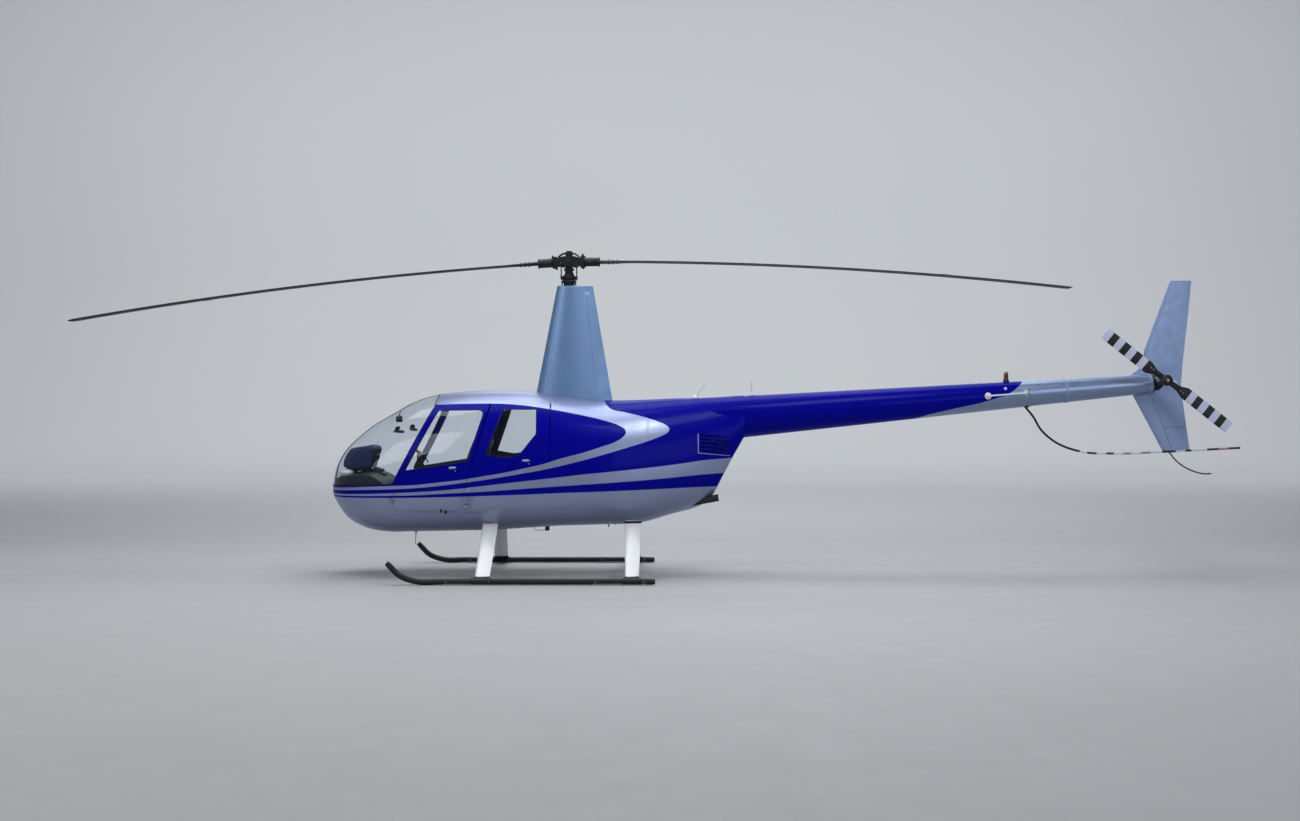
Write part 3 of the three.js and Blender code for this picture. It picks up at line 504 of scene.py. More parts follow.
def cone(x0, x1, change, sides=96, steps=2):
    stations = np.linspace(x0, x1, steps)
    return tube([(x, 0, cone_z(x)) for x in stations], [cone_r(x) + change for x in stations], sides)


# Paint lines on the left side, (station, height); the right side mirrors them
FIELD_TOP = [
    (-1.60, 1.705), (-1.338, 1.691), (-1.042, 1.697), (-0.842, 1.701), (-0.642, 1.699), (-0.442, 1.685),
    (-0.243, 1.659), (-0.044, 1.625), (0.156, 1.585), (0.381, 1.531), (0.511, 1.486), (0.570, 1.446),
    (0.580, 1.418), (0.551, 1.378), (0.471, 1.328), (0.335, 1.281), (0.188, 1.233), (-0.057, 1.169),
    (-0.230, 1.115), (-0.427, 1.071), (-0.623, 1.029), (-0.820, 0.996), (-1.017, 0.964), (-1.244, 0.938),
    (-1.440, 0.916), (-1.640, 0.906), (-1.946, 0.893), (-2.279, 0.876), (-2.40, 0.872),
]
LOOP_EDGE = [
    (0.340, 1.760), (0.408, 1.659), (0.575, 1.613), (0.729, 1.575), (0.880, 1.528), (0.970, 1.488),
    (1.004, 1.449), (0.980, 1.414), (0.928, 1.387), (0.790, 1.335), (0.630, 1.285), (0.433, 1.227),
    (0.237, 1.172), (-0.057, 1.098), (-0.230, 1.060), (-0.427, 1.025), (-0.623, 0.991), (-0.820, 0.960),
    (-1.017, 0.933), (-1.215, 0.908), (-1.440, 0.886), (-1.741, 0.870), (-2.052, 0.860), (-2.265, 0.850),
    (-2.40, 0.846),
]
STRIPE_TOP = [
    (1.80, 1.178), (1.618, 1.164), (1.302, 1.139), (1.128, 1.115), (0.779, 1.075), (0.434, 1.041),
    (0.188, 1.019), (-0.057, 0.991), (-0.525, 0.938), (-0.820, 0.904), (-1.215, 0.861), (-1.441, 0.846),
    (-1.741, 0.832), (-2.252, 0.816), (-2.40, 0.814),
]
STRIPE_FOOT = [
    (1.80, 1.030), (1.559, 1.016), (1.302, 1.001), (0.928, 0.969), (0.434, 0.935), (-0.057, 0.904),
    (-0.427, 0.878), (-0.820, 0.850), (-1.215, 0.829), (-1.441, 0.816), (-1.844, 0.806), (-2.240, 0.800),
    (-2.40, 0.799),
]
BELLY_LINE = [
    (1.80, 0.880), (1.479, 0.880), (1.303, 0.879), (0.928, 0.868), (0.434, 0.852), (-0.057, 0.838),
    (-0.427, 0.822), (-0.820, 0.809), (-1.215, 0.797), (-1.541, 0.790), (-1.947, 0.786), (-2.242, 0.784),
    (-2.40, 0.783),
]
BARE_CONE_EDGE = [(3.44, 1.54), (3.542, 1.576), (3.780, 1.636), (4.164, 1.725), (4.416, 1.820),
                  (4.560, 1.945)]
# Each paint region is closed round one of those lines by corners far from the skin.
REGIONS = {
    "field": (FIELD_TOP, [(-3, 0.84), (-3, 1.75)]),
    "loop": (LOOP_EDGE, [(-3, 0.82), (-3, 2.3), (0.30, 2.3)]),
    "stripe_top": (STRIPE_TOP, [(-3, 0.81), (-3, 0), (3, 0), (3, 1.18)]),
    "stripe_foot": (STRIPE_FOOT, [(-3, 0.79), (-3, 0), (3, 0), (3, 1.03)]),
    "belly": (BELLY_LINE, [(-3, 0.78), (-3, 0), (3, 0), (3, 0.88)]),
}


def inside_by(points, outline):
    """How far (station, height) points lie inside an outline; outside, the distance is negative."""
    outline = np.asarray(outline, float)
    best = np.full(len(points), 1e9)
    odd = np.zeros(len(points), bool)
    for a, b in zip(outline, np.roll(outline, -1, axis=0)):
        edge = b - a
        share = np.clip((points - a) @ edge / (edge @ edge), 0, 1)
        best = np.minimum(best, np.linalg.norm(points - a - share[:, None] * edge, axis=1))
        level = points[:, 1]
        crosses = (a[1] > level) != (b[1] > level)
        with np.errstate(divide="ignore", invalid="ignore"):
            at = a[0] + (level - a[1]) / (b[1] - a[1]) * edge[0]
        odd ^= crosses & (points[:, 0] < at)
    return np.where(odd, best, -best)


def paint_field(made, name, line, corners):
    """Stores how far each point lies inside a paint region, for the paint to show its edge by."""
    points = mesh_points(made.data)
    outline = [tuple(p) for p in smooth(line, 160)] + corners
    values = inside_by(points[:, [0, 2]], outline)
    field = made.data.attributes.new(name, "FLOAT", "POINT")
    field.data.foreach_set("value", values.astype(np.float32))


def paint_regions(made):
    for name, (line, corners) in REGIONS.items():
        paint_field(made, name, line, corners)


def painted_piece(name, shape, body="airframe", bevel=0):
    """A piece in the fuselage's paint, with the paint's lines running over it."""
    paint_regions(piece(name, [(shape, "hull")], body, bevel=bevel))


def mesh_points(mesh):
    co = np.empty(len(mesh.vertices) * 3, np.float32)
    mesh.vertices.foreach_get("co", co)
    return co.reshape(-1, 3).astype(float) - (MAST_X, 0, 0)


ON_SKIN = 0.0012  # a point this near the true skin lies on it
ON_WALL = 0.003  # and a point this near the wall's inner side, or deeper, on the lining


def dress_skin(made, outer, inner, wall, painted=True):
    """Gives a piece cut from the fuselage its smooth outside, its paint and, wall deep, its lining."""
    mesh = made.data
    cover(made, outer)
    mesh.materials.append(MATERIALS[inner])
    points = mesh_points(mesh)
    slope = climb(points)
    depth = gauge(points) / np.linalg.norm(slope, axis=1)
    corners, starts, counts = face_corners(mesh)
    outside = np.logical_and.reduceat(np.abs(depth[corners]) < ON_SKIN, starts)
    deep = np.logical_and.reduceat(depth[corners] < ON_WALL - wall, starts)
    mesh.polygons.foreach_set("material_index", np.where(deep, 1, 0))
    shade_smooth(mesh, 30)
    ways = unit(slope)[corners] * np.repeat(outside, counts)[:, None]
    mesh.normals_split_custom_set([tuple(way) for way in ways])
    if painted:
        paint_regions(made)


def face_corners(mesh):
    """The point at each face corner, and the first corner and the number of corners of each face."""
    corners = np.empty(len(mesh.loops), int)
    mesh.loops.foreach_get("vertex_index", corners)
    starts = np.empty(len(mesh.polygons), int)
    mesh.polygons.foreach_get("loop_start", starts)
    return corners, starts, np.diff(np.append(starts, len(mesh.loops)))


# Materials

def add_node(tree, kind, inputs=None, **settings):
    node = tree.nodes.new("ShaderNode" + kind)
    for name, value in settings.items():
        setattr(node, name, value)
    for name, value in (inputs or {}).items():
        if isinstance(value, bpy.types.NodeSocket):
            tree.links.new(value, node.inputs[name])
        else:
            node.inputs[name].default_value = value
    return node


def sum_of(tree, operation, a, b):
    return add_node(tree, "Math", {0: a, 1: b}, operation=operation).outputs[0]


def noise(tree, scale, detail=3.0, rough=0.5):
    """Noise over the piece's own coordinates, in features per metre."""
    place = add_node(tree, "TexCoord").outputs["Object"]
    inputs = {"Vector": place, "Scale": scale, "Detail": detail, "Roughness": rough}
    return add_node(tree, "TexNoise", inputs).outputs["Fac"]


def ranged(tree, value, low, high, start=0.0, end=1.0):
    inputs = {"Value": value, "From Min": start, "From Max": end, "To Min": low, "To Max": high}
    return add_node(tree, "MapRange", inputs).outputs[0]


def blended(tree, factor, a, b):
    node = add_node(tree, "Mix", {0: factor}, data_type="RGBA")
    for socket, value in zip((node.inputs[6], node.inputs[7]), (a, b)):
        if isinstance(value, bpy.types.NodeSocket):
            tree.links.new(value, socket)
        else:
            socket.default_value = (*value, 1)
    return node.outputs[2]


def bumped(tree, *layers):
    """A normal from (height, strength, distance) layers, one on another."""
    normal = None
    for height, strength, distance in layers:
        inputs = {"Height": height, "Strength": strength, "Distance": distance}
        if normal:
            inputs["Normal"] = normal
        normal = add_node(tree, "Bump", inputs).outputs[0]
    return normal


def shader(name, links, **fixed):
    """A Principled material. links are made by a function from its tree; fixed values are set directly."""
    material = bpy.data.materials.new(name)
    material.use_nodes = True
    tree = material.node_tree
    surface = tree.nodes["Principled BSDF"]
    for key, value in fixed.items():
        surface.inputs[key.replace("_", " ").title().replace("Ior", "IOR")].default_value = value
    for key, value in links(tree).items():
        tree.links.new(value, surface.inputs[key])
    return material


def tinted(tree, colour, share, scale):
    """A colour that drifts a little over the surface."""
    dark = tuple(c * (1 - share) for c in colour)
    light = tuple(min(c * (1 + share), 1) for c in colour)
    return blended(tree, noise(tree, scale, 4.0), dark, light)


def finish(name, colour, rough, share, scale, grain, **fixed):
    """A painted, moulded or metal finish: drifting colour, uneven gloss and a fine grain.

    share says how far the colour drifts, and scale in how many patches per metre; rough is the least
    and the most roughness; grain is its features per metre, its strength and its depth.
    """

    def links(tree):
        fineness, strength, depth = grain
        height = noise(tree, fineness, 2.0)
        return {
            "Base Color": tinted(tree, colour, share, scale),
            "Roughness": ranged(tree, noise(tree, scale * 5, 5.0, 0.6), *rough, 0.3, 0.7),
            "Normal": bumped(tree, (height, strength, depth)),
        }

    return shader(name, links, **fixed)


BLUE = (0.0008, 0.0014, 0.24)
SILVER = (0.26, 0.30, 0.455)
ALUMINIUM = (0.46, 0.48, 0.52)
BARE = (0.235, 0.305, 0.46)


def edge_of(tree, attribute, width=0.0006):
    """One inside a paint region, nought outside it, with a thin soft edge."""
    value = add_node(tree, "Attribute", attribute_name=attribute).outputs["Fac"]
    return ranged(tree, value, 0.0, 1.0, -width, width)


def paint_links(silver_mask, silver_colour, metal):
    """Gloss blue paint with silver where the mask says, under one clear coat."""

    def links(tree):
        mask = silver_mask(tree)
        flake = noise(tree, 900.0, 1.0)
        blue = tinted(tree, BLUE, 0.10, 1.5)
        silver = blended(tree, flake, *(tuple(c * share for c in silver_colour) for share in (0.82, 1.18)))
        peel = noise(tree, 120.0, 2.0)
        gloss = ranged(tree, mask, 0.30, 0.36)
        uneven = ranged(tree, noise(tree, 14.0, 5.0, 0.65), -0.04, 0.06, 0.3, 0.7)
        return {
            "Base Color": blended(tree, mask, blue, silver),
            "Metallic": ranged(tree, mask, 0.0, metal),
            "Roughness": sum_of(tree, "ADD", gloss, uneven),
            "Normal": bumped(tree, (flake, 0.04, 0.0003), (peel, 0.05, 0.0006)),
        }

    return links


def hull_mask(tree):
    regions = {name: edge_of(tree, name) for name in REGIONS}
    loop = sum_of(tree, "SUBTRACT", regions["loop"], regions["field"])
    stripe = sum_of(tree, "SUBTRACT", regions["stripe_top"], regions["stripe_foot"])
    upper = sum_of(tree, "MAXIMUM", loop, stripe)
    return sum_of(tree, "MAXIMUM", upper, regions["belly"])


def glass(name, tint, sheen=0.9):
    """A thin clear pane: it lets light through, and mirrors more as it turns away."""
    material = bpy.data.materials.new(name)
    material.use_nodes = True
    tree = material.node_tree
    tree.nodes.remove(tree.nodes["Principled BSDF"])
    dust = noise(tree, 9.0, 6.0, 0.6)
    clear = add_node(tree, "BsdfTransparent", {"Color": (*tint, 1)})
    gloss = add_node(tree, "BsdfGlossy", {"Color": (sheen, sheen, sheen, 1)})
    tree.links.new(ranged(tree, dust, 0.01, 0.05, 0.3, 0.7), gloss.inputs["Roughness"])
    facing = add_node(tree, "LayerWeight", {"Blend": 0.5}).outputs["Facing"]
    edge = sum_of(tree, "MULTIPLY", sum_of(tree, "POWER", facing, 4.0), 0.38)
    share = sum_of(tree, "ADD", edge, ranged(tree, dust, 0.012, 0.03, 0.4, 0.8))
    mix = add_node(tree, "MixShader", {0: share})
    tree.links.new(clear.outputs[0], mix.inputs[1])
    tree.links.new(gloss.outputs[0], mix.inputs[2])
    tree.links.new(mix.outputs[0], tree.nodes["Material Output"].inputs["Surface"])
    return material


def coned_mask(tree):
    return edge_of(tree, "bare")


def webbing_links(tree):
    """Woven straps: fine ribs across the weave."""
    weave = {"Scale": 260.0, "Distortion": 0.4, "Detail": 1.0}
    ribs = add_node(tree, "TexWave", weave, bands_direction="Z").outputs["Fac"]
    return {
        "Base Color": tinted(tree, (0.030, 0.032, 0.045), 0.25, 40.0),
        "Roughness": ranged(tree, noise(tree, 90.0), 0.65, 0.85, 0.3, 0.7),
        "Normal": bumped(tree, (ribs, 0.4, 0.0006), (noise(tree, 1400.0), 0.3, 0.0003)),
    }


def leather_links(tree):
    """Black leather: pebbled grain, soft creases and a rubbed sheen."""
    place = add_node(tree, "TexCoord").outputs["Object"]
    pebble = add_node(tree, "TexVoronoi", {"Vector": place, "Scale": 420.0}, feature="F1").outputs["Distance"]
    crease = noise(tree, 9.0, 6.0, 0.6)
    return {
        "Base Color": tinted(tree, (0.014, 0.014, 0.017), 0.3, 8.0),
        "Roughness": ranged(tree, crease, 0.40, 0.62, 0.3, 0.7),
        "Normal": bumped(tree, (crease, 0.25, 0.004), (pebble, 0.35, 0.0006)),
    }


MATERIALS = {
    "hull": shader("hull_paint", paint_links(hull_mask, SILVER, 0.72), specular_ior_level=0.03,
                   coat_weight=0.03, coat_roughness=0.06),
    "blue": finish("blue_paint", BLUE, (0.26, 0.36), 0.1, 2.0, (120.0, 0.05, 0.0006),
                   specular_ior_level=0.03, coat_weight=0.03, coat_roughness=0.06),
    "cone": shader("cone_paint", paint_links(coned_mask, BARE, 0.94), specular_ior_level=0.03,
                   coat_weight=0.03, coat_roughness=0.06),
    # The tail blades' pale bands: the white paint made darker and bluer, painted shade for the shade the
    # blades lie in.
    "shaded_tail_white": finish("tail_blade_white_painted_shade", (0.50, 0.53, 0.71), (0.3, 0.45), 0.08, 6.0,
                         (150.0, 0.06, 0.0005)),
    "silver": finish("fairing_paint", SILVER, (0.3, 0.42), 0.08, 2.0, (900.0, 0.05, 0.0003), metallic=0.55,
                     coat_weight=0.6),
    "fairing": finish("mast_fairing_paint", (0.145, 0.255, 0.46), (0.32, 0.45), 0.10, 1.2,
                      (700.0, 0.06, 0.0003), metallic=0.45),
    "patch": finish("patch_paint", (0.30, 0.42, 0.60), (0.35, 0.5), 0.15, 30.0, (700.0, 0.06, 0.0003),
                    metallic=0.3),
    "fin": finish("fin_paint", (0.22, 0.30, 0.50), (0.34, 0.48), 0.10, 2.5, (500.0, 0.06, 0.0003),
                  metallic=0.45),
    "seam": finish("seam_sealant", (0.055, 0.075, 0.125), (0.5, 0.65), 0.2, 12.0, (500.0, 0.1, 0.0003),
                   specular_ior_level=0.25),
    "blade": finish("blade_paint", (0.010, 0.010, 0.012), (0.42, 0.6), 0.35, 3.0, (260.0, 0.15, 0.0004),
                    specular_ior_level=0.25),
    "red": finish("red_paint", (0.045, 0.006, 0.009), (0.3, 0.45), 0.12, 6.0, (150.0, 0.06, 0.0005)),
    "pale_red": finish("worn_red_paint", (0.30, 0.20, 0.22), (0.4, 0.55), 0.3, 40.0, (150.0, 0.06, 0.0005)),
    "chrome": finish("reflector", (0.75, 0.76, 0.78), (0.05, 0.12), 0.05, 12.0, (60.0, 0.03, 0.0005),
                     metallic=1.0),
    "lamp": finish("lamp_bulb", (0.80, 0.80, 0.76), (0.08, 0.15), 0.04, 30.0, (80.0, 0.02, 0.0003),
                   coat_weight=0.8),
    "glass_red": finish("sight_glass", (0.16, 0.05, 0.01), (0.06, 0.12), 0.1, 60.0, (80.0, 0.02, 0.0003),
                        coat_weight=1.0),
    "white": finish("white_paint", (0.62, 0.63, 0.66), (0.25, 0.4), 0.05, 5.0, (150.0, 0.06, 0.0005),
                    coat_weight=0.5),
    "black": finish("black_paint", (0.010, 0.010, 0.012), (0.34, 0.5), 0.3, 6.0, (300.0, 0.12, 0.0004),
                    specular_ior_level=0.28),
    "aluminium": finish("aluminium", ALUMINIUM, (0.28, 0.45), 0.1, 5.0, (400.0, 0.06, 0.0003), metallic=0.8),
    "steel": finish("steel", (0.25, 0.25, 0.27), (0.3, 0.5), 0.2, 20.0, (500.0, 0.1, 0.0003), metallic=0.9),
    "dark_metal": finish("dark_metal", (0.022, 0.022, 0.026), (0.38, 0.55), 0.3, 25.0, (400.0, 0.15, 0.0004),
                         metallic=0.45, specular_ior_level=0.3),
    "rubber": finish("rubber", (0.009, 0.009, 0.010), (0.55, 0.75), 0.3, 30.0, (500.0, 0.25, 0.0004),
                     specular_ior_level=0.25),
    "glass": glass("window_glass", (0.93, 0.95, 0.97)),
    "lining": finish("cabin_lining", (0.040, 0.042, 0.055), (0.75, 0.92), 0.12, 12.0, (900.0, 0.35, 0.0006),
                     specular_ior_level=0.2),
    "plastic": finish("console_plastic", (0.012, 0.013, 0.017), (0.42, 0.6), 0.2, 8.0, (1200.0, 0.2, 0.0003),
                      specular_ior_level=0.3),
    "navy": finish("instrument_hood", (0.003, 0.012, 0.065), (0.45, 0.62), 0.2, 8.0, (1400.0, 0.3, 0.0003),
                   specular_ior_level=0.3),
    "dial": finish("dial_face", (0.006, 0.006, 0.007), (0.2, 0.3), 0.2, 40.0, (900.0, 0.05, 0.0002),
                   specular_ior_level=0.4),
    "mark": finish("dial_marks", (0.80, 0.80, 0.76), (0.4, 0.55), 0.05, 60.0, (900.0, 0.1, 0.0002)),
    "webbing": shader("seat_webbing", webbing_links, specular_ior_level=0.2, sheen_weight=0.3),
    "carpet": finish("carpet", (0.022, 0.024, 0.032), (0.85, 1.0), 0.35, 60.0, (1500.0, 0.8, 0.002)),
    "leather": shader("seat_leather", leather_links, specular_ior_level=0.3, sheen_weight=0.08,
                      sheen_roughness=0.5),
    "beacon": finish("beacon_lens", (0.10, 0.003, 0.004), (0.08, 0.16), 0.2, 30.0, (200.0, 0.1, 0.0004),
                     coat_weight=1.0),
    "engine": finish("engine_metal", (0.16, 0.16, 0.17), (0.4, 0.65), 0.25, 15.0, (300.0, 0.3, 0.0006),
                     metallic=0.7),
    "fibreglass": finish("fibreglass", (0.62, 0.60, 0.50), (0.35, 0.55), 0.1, 8.0, (250.0, 0.2, 0.0006)),
}

# The frame's own pieces that stay, with the finish of each
CARRIED = {
    "firewall": "aluminium", "main_gearbox": "engine", "engine_block": "engine", "cabin_floor": "carpet",
}


def carry_over():
    for node, finish_name in CARRIED.items():
        cover(frame["nodes"][node], finish_name)


# Fuselage pieces

def side_prism(outline, side):
    near, far = 0.12, REACH
    return prism(outline, *((-far, -near) if side < 0 else (near, far)))


def panel_outline(opening):
    """A door's outline: a gap inside its opening, with the upper rear corner eased forward."""
    points = grown(opening, -DOOR_GAP)
    corner = max(range(len(points)), key=lambda i: sum(points[i]))
    points[corner] = (points[corner][0] - DOOR_EASE, points[corner][1])
    return points


def lamp_bar(side, radius):
    y, z = side * LAMP["y"], LAMP["z"]
    return rod((LAMP["front"], y, z), (LAMP["back"], y, z), radius, radius, 48)


def louvre_slots():
    x0, x1 = LOUVRES["x"]
    for i in range(LOUVRES["count"]):
        z = LOUVRES["z"] + i * LOUVRES["pitch"]
        low = z - LOUVRES["fall"]
        high = low + LOUVRES["height"]
        yield prism([(x0, z), (x1, low), (x1, high), (x0, z + LOUVRES["height"])], -REACH, REACH)


DOORS = {"front": (FRONT_DOOR, FRONT_WINDOW), "rear": (REAR_DOOR, REAR_WINDOW)}


def add_fuselage():
    outside = new_object("outside", hull(0))
    cabin_skin = carve(copy_of(outside, "cabin_skin"), ("-", hull(CABIN_WALL, *COARSE)))
    glass_skin = carve(copy_of(outside, "glass_skin"), ("-", hull(GLASS)))
    for label, side in SIDES.items():
        for kind, (opening, pane) in DOORS.items():
            add_door(f"{kind}_{label}", side, opening, pane, cabin_skin, glass_skin)
    add_shell(cabin_skin)
    add_windshield(glass_skin)
    add_cowl(outside)
    add_windshield_post(outside)
    add_landing_lights(glass_skin)
    for made in (outside, cabin_skin, glass_skin):
        bpy.data.objects.remove(made)


def add_door(name, side, opening, pane, cabin_skin, glass_skin):
    panel = side_prism(panel_outline(opening), side)
    door = carve(copy_of(cabin_skin, f"{name}_door_panel"), ("&", panel), ("-", side_prism(pane, side)))
    dress_skin(door, "hull", "lining", CABIN_WALL)
    keep(door, f"{name}_door_body", [f"{name}_door"])
    window = carve(copy_of(glass_skin, f"{name}_pane"), ("&", side_prism(grown(pane, -FIT), side)))
    dress_skin(window, "glass", "glass", GLASS, False)
    keep(window, f"{name}_door_body", [f"{name}_window"])


def add_shell(cabin_skin):
    cuts = [("&", block((-3, -REACH, 0), (COWL_SEAM_X, REACH, 3)))]
    cuts.append(("-", prism(WINDSHIELD, -REACH, REACH)))
    for side in SIDES.values():
        cuts += [("-", side_prism(opening, side)) for opening, _ in DOORS.values()]
        cuts.append(("-", lamp_bar(side, LAMP["radius"] + FIT)))
    cuts.append(("-", rod((0, 0, 1.61), (0, 0, 2.0), MAST_HOLE, MAST_HOLE, 48)))
    shell = carve(copy_of(cabin_skin, "cabin_skin_panels"), *cuts)
    dress_skin(shell, "hull", "lining", CABIN_WALL)
    keep(shell, "airframe", ["cabin_shell"])


def add_windshield(glass_skin):
    outline = grown(WINDSHIELD, -FIT)
    for label, side in SIDES.items():
        low, high = sorted((side * (POST_HALF + FIT), side * REACH))
        pane = carve(copy_of(glass_skin, f"windshield_pane_{label}"), ("&", prism(outline, low, high)))
        dress_skin(pane, "glass", "glass", GLASS, False)
        keep(pane, "airframe", [f"windshield_{label}"])


def add_cowl(outside):
    cuts = [
        ("-", hull(COWL_WALL)),
        ("&", block((COWL_SEAM_X + FIT, -REACH, 0), (3, REACH, 3))),
        ("-", prism(COWL_END, -REACH, REACH)),
        ("-", cone(CONE_FRONT_X - FIT, CONE_X[1], FIT)),
    ]
    cuts += [("-", slot) for slot in louvre_slots()]
    cowl = carve(copy_of(outside, "engine_cowl_skin"), *cuts)
    dress_skin(cowl, "hull", "dark_metal", COWL_WALL)
    keep(cowl, "airframe", ["engine_cowl"])


# Small shapes

def streamline(chord, thick, steps):
    """A symmetric streamlined outline of (distance from its nose, half across), thickest near 30 %."""
    s = (1 - np.cos(np.linspace(0, math.pi, steps + 1))) / 2
    half = 5 * thick * (0.2969 * np.sqrt(s) - 0.126 * s - 0.3516 * s**2 + 0.2843 * s**3 - 0.1036 * s**4)
    half[1:] = np.maximum(half[1:], 0.0004)
    upper = list(zip(s * chord, half))
    return upper + [(c, -t) for c, t in reversed(upper[1:])]


def half_across(distance, chord, thick, steps):
    """Half the thickness of a streamlined section at a distance from its nose."""
    outline = streamline(chord, thick, steps)[: steps + 1]
    return float(np.interp(distance, [c for c, _ in outline], [t for _, t in outline]))


def columns_at(rows, place):
    """The other columns of a table, read at a value of its first one."""
    first = [row[0] for row in rows]
    return [float(np.interp(place, first, column)) for column in list(zip(*rows))[1:]]


def flat_strip(points, way, half, low, high):
    """A flat strip along points on a surface that faces one way."""
    ways = np.tile(np.array(way, float), (len(points), 1))
    return moulding(points, ways, [(-half, low), (half, low), (half, high), (-half, high)], False)


def wing_rings(rows, place, steps):
    """Streamlined rings from rows of (along, nose, chord, thickness)."""
    return [
        [place(along, nose + c, t) for c, t in streamline(chord, thick, steps)]
        for along, nose, chord, thick in rows
    ]


def round_tip(rows, length, steps=5):
    """Rows that end in a rounded tip of the given length instead of a flat one."""
    rows = [tuple(row) for row in rows]
    along, nose, chord, thick = rows[-1]
    way = math.copysign(1, along - rows[-2][0])
    kept = [row for row in rows if (along - row[0]) * way > length]
    base = along - way * length
    last = kept[-1]
    for s in np.linspace(0, 1, steps + 1):
        size = math.sqrt(max(1 - s * s, 0.01))
        share = (base + way * length * s - last[0]) / (along - last[0])
        here = [a + share * (b - a) for a, b in zip(last[1:], (nose, chord, thick))]
        trim = 0.5 * length * (1 - size)
        kept.append((base + way * length * s, here[0] + trim, here[1] - 2 * trim, here[2] * size))
    return kept


def bands(rings, finishes):
    """Parts of one skin through rings, with a finish for each gap between them and for both ends."""
    rings = np.asarray(rings, float)
    parts = [(loft(rings[i:i + 2], caps=False), colour) for i, colour in enumerate(finishes)]
    disc = [tuple(range(rings.shape[1]))]
    return parts + [((rings[0], disc), finishes[0]), ((rings[-1], disc), finishes[-1])]


def stud(point, way, radius=0.0024, height=0.0009, sides=8):
    """A low domed head on a surface."""
    edge = [(radius, -0.001), (radius, 0.3 * height)]
    dome = [(0.65 * radius, 0.9 * height), (0.1 * radius, height)]
    return lathe(edge + dome, point, way, sides)


def studs(places, **size):
    return combine(*(stud(point, way, **size) for point, way in places))


def bolt(point, way, radius, height, sides=6):
    profile = [(1.3 * radius, -0.001), (1.3 * radius, 0.15 * height), (radius, 0.15 * height)]
    profile += [(radius, 0.9 * height), (0.8 * radius, height), (0.02 * radius, height)]
    return lathe(profile, point, way, sides)


def skin_places(path, side):
    points = np.array([on_skin(x, z, side) for x, z in path])
    return points, outward(points)


def skin_pad(outline, side, low, high, rim=0.0015):
    """A plate that follows the fuselage's skin, with a softened edge."""
    levels = [(0, low), (0, high - rim), (-rim, high)]
    rings = []
    for shrink, height in levels:
        points, ways = skin_places(grown(outline, shrink) if shrink else outline, side)
        rings.append(points + height * ways)
    return loft(rings)


def skin_line(path, side, half, high, loop=False):
    """A low moulding along the fuselage's skin."""
    points, ways = skin_places(path, side)
    foot = [(-half, -0.002), (half, -0.002)]
    top = [(half, 0.5 * high), (0.5 * half, high), (-0.5 * half, high), (-half, 0.5 * high)]
    return moulding(points, ways, foot + top, loop)


def oval(x, z, width, height, steps=20):
    return [(x + width / 2 * math.cos(a), z + height / 2 * math.sin(a)) for a in around(steps)]


# Glazing trim, hinges and handles

def windshield_edge():
    """The windshield's edge on the left side, from the nose round to the roof's middle."""
    (x0, z0), (x1, z1), (x2, z2) = WINDSHIELD[:3]
    low = [(x, z0 + (z1 - z0) * (x - x0) / (x1 - x0)) for x in np.linspace(-2.3495, x1, 40)]
    pillar = [(x1 + (x2 - x1) * s, z1 + (z2 - z1) * s) for s in np.linspace(0.03, 1, 30)]
    bow = [(x2 + 0.022 * s, z2 + 0.120 * s) for s in np.sin(np.linspace(0.06, math.pi / 2, 24))]
    return low + pillar + bow


WINDSHIELD_SEAL = [
    (-0.0045, -0.003), (0.0045, -0.003), (0.0045, 0.001), (0.003, 0.002), (-0.003, 0.002),
    (-0.0045, 0.001),
]


def add_window_trim():
    for label, side in SIDES.items():
        for kind, (_, pane) in DOORS.items():
            name = f"{kind}_{label}"
            ring = skin_line(dense(pane, 0.03), side, 0.0035, 0.002, True)
            piece(f"{name}_window_seal", [(ring, "rubber")], f"{name}_door_body")
        edge = np.array([on_skin(x, z, side) for x, z in windshield_edge()])
        bead = moulding(edge, outward(edge), WINDSHIELD_SEAL, False)
        piece(f"windshield_seal_{label}", [(bead, "rubber")], "airframe")


def add_windshield_post(outside):
    """The thin strip that joins the two halves of the windshield."""
    strip = prism(WINDSHIELD, -POST_HALF, POST_HALF)
    post = carve(copy_of(outside, "windshield_post"), ("-", hull(POST_DEPTH)), ("&", strip))
    dress_skin(post, "hull", "lining", POST_DEPTH)
    keep(post, "airframe")


# Two knuckles of each hinge stand on each other, one on the frame ahead and one on the door behind.
# Columns: door, axis station, axis distance from the centre plane, foot height, arm's station in the door,
# length of the arm into the frame, depth of both arms.
HINGES = [
    ("front", -1.690, 0.598, 0.728, -1.680, 0.028, 0.032),
    ("front", -1.690, 0.598, 0.788, -1.680, 0.028, 0.032),
    ("rear", -0.978, 0.652, 0.684, -0.946, 0.014, 0.058),
    ("rear", -0.978, 0.652, 0.760, -0.920, 0.014, 0.046),
]
KNUCKLE = {"radius": 0.009, "height": 0.018, "arm": 0.008, "reach": 0.022}


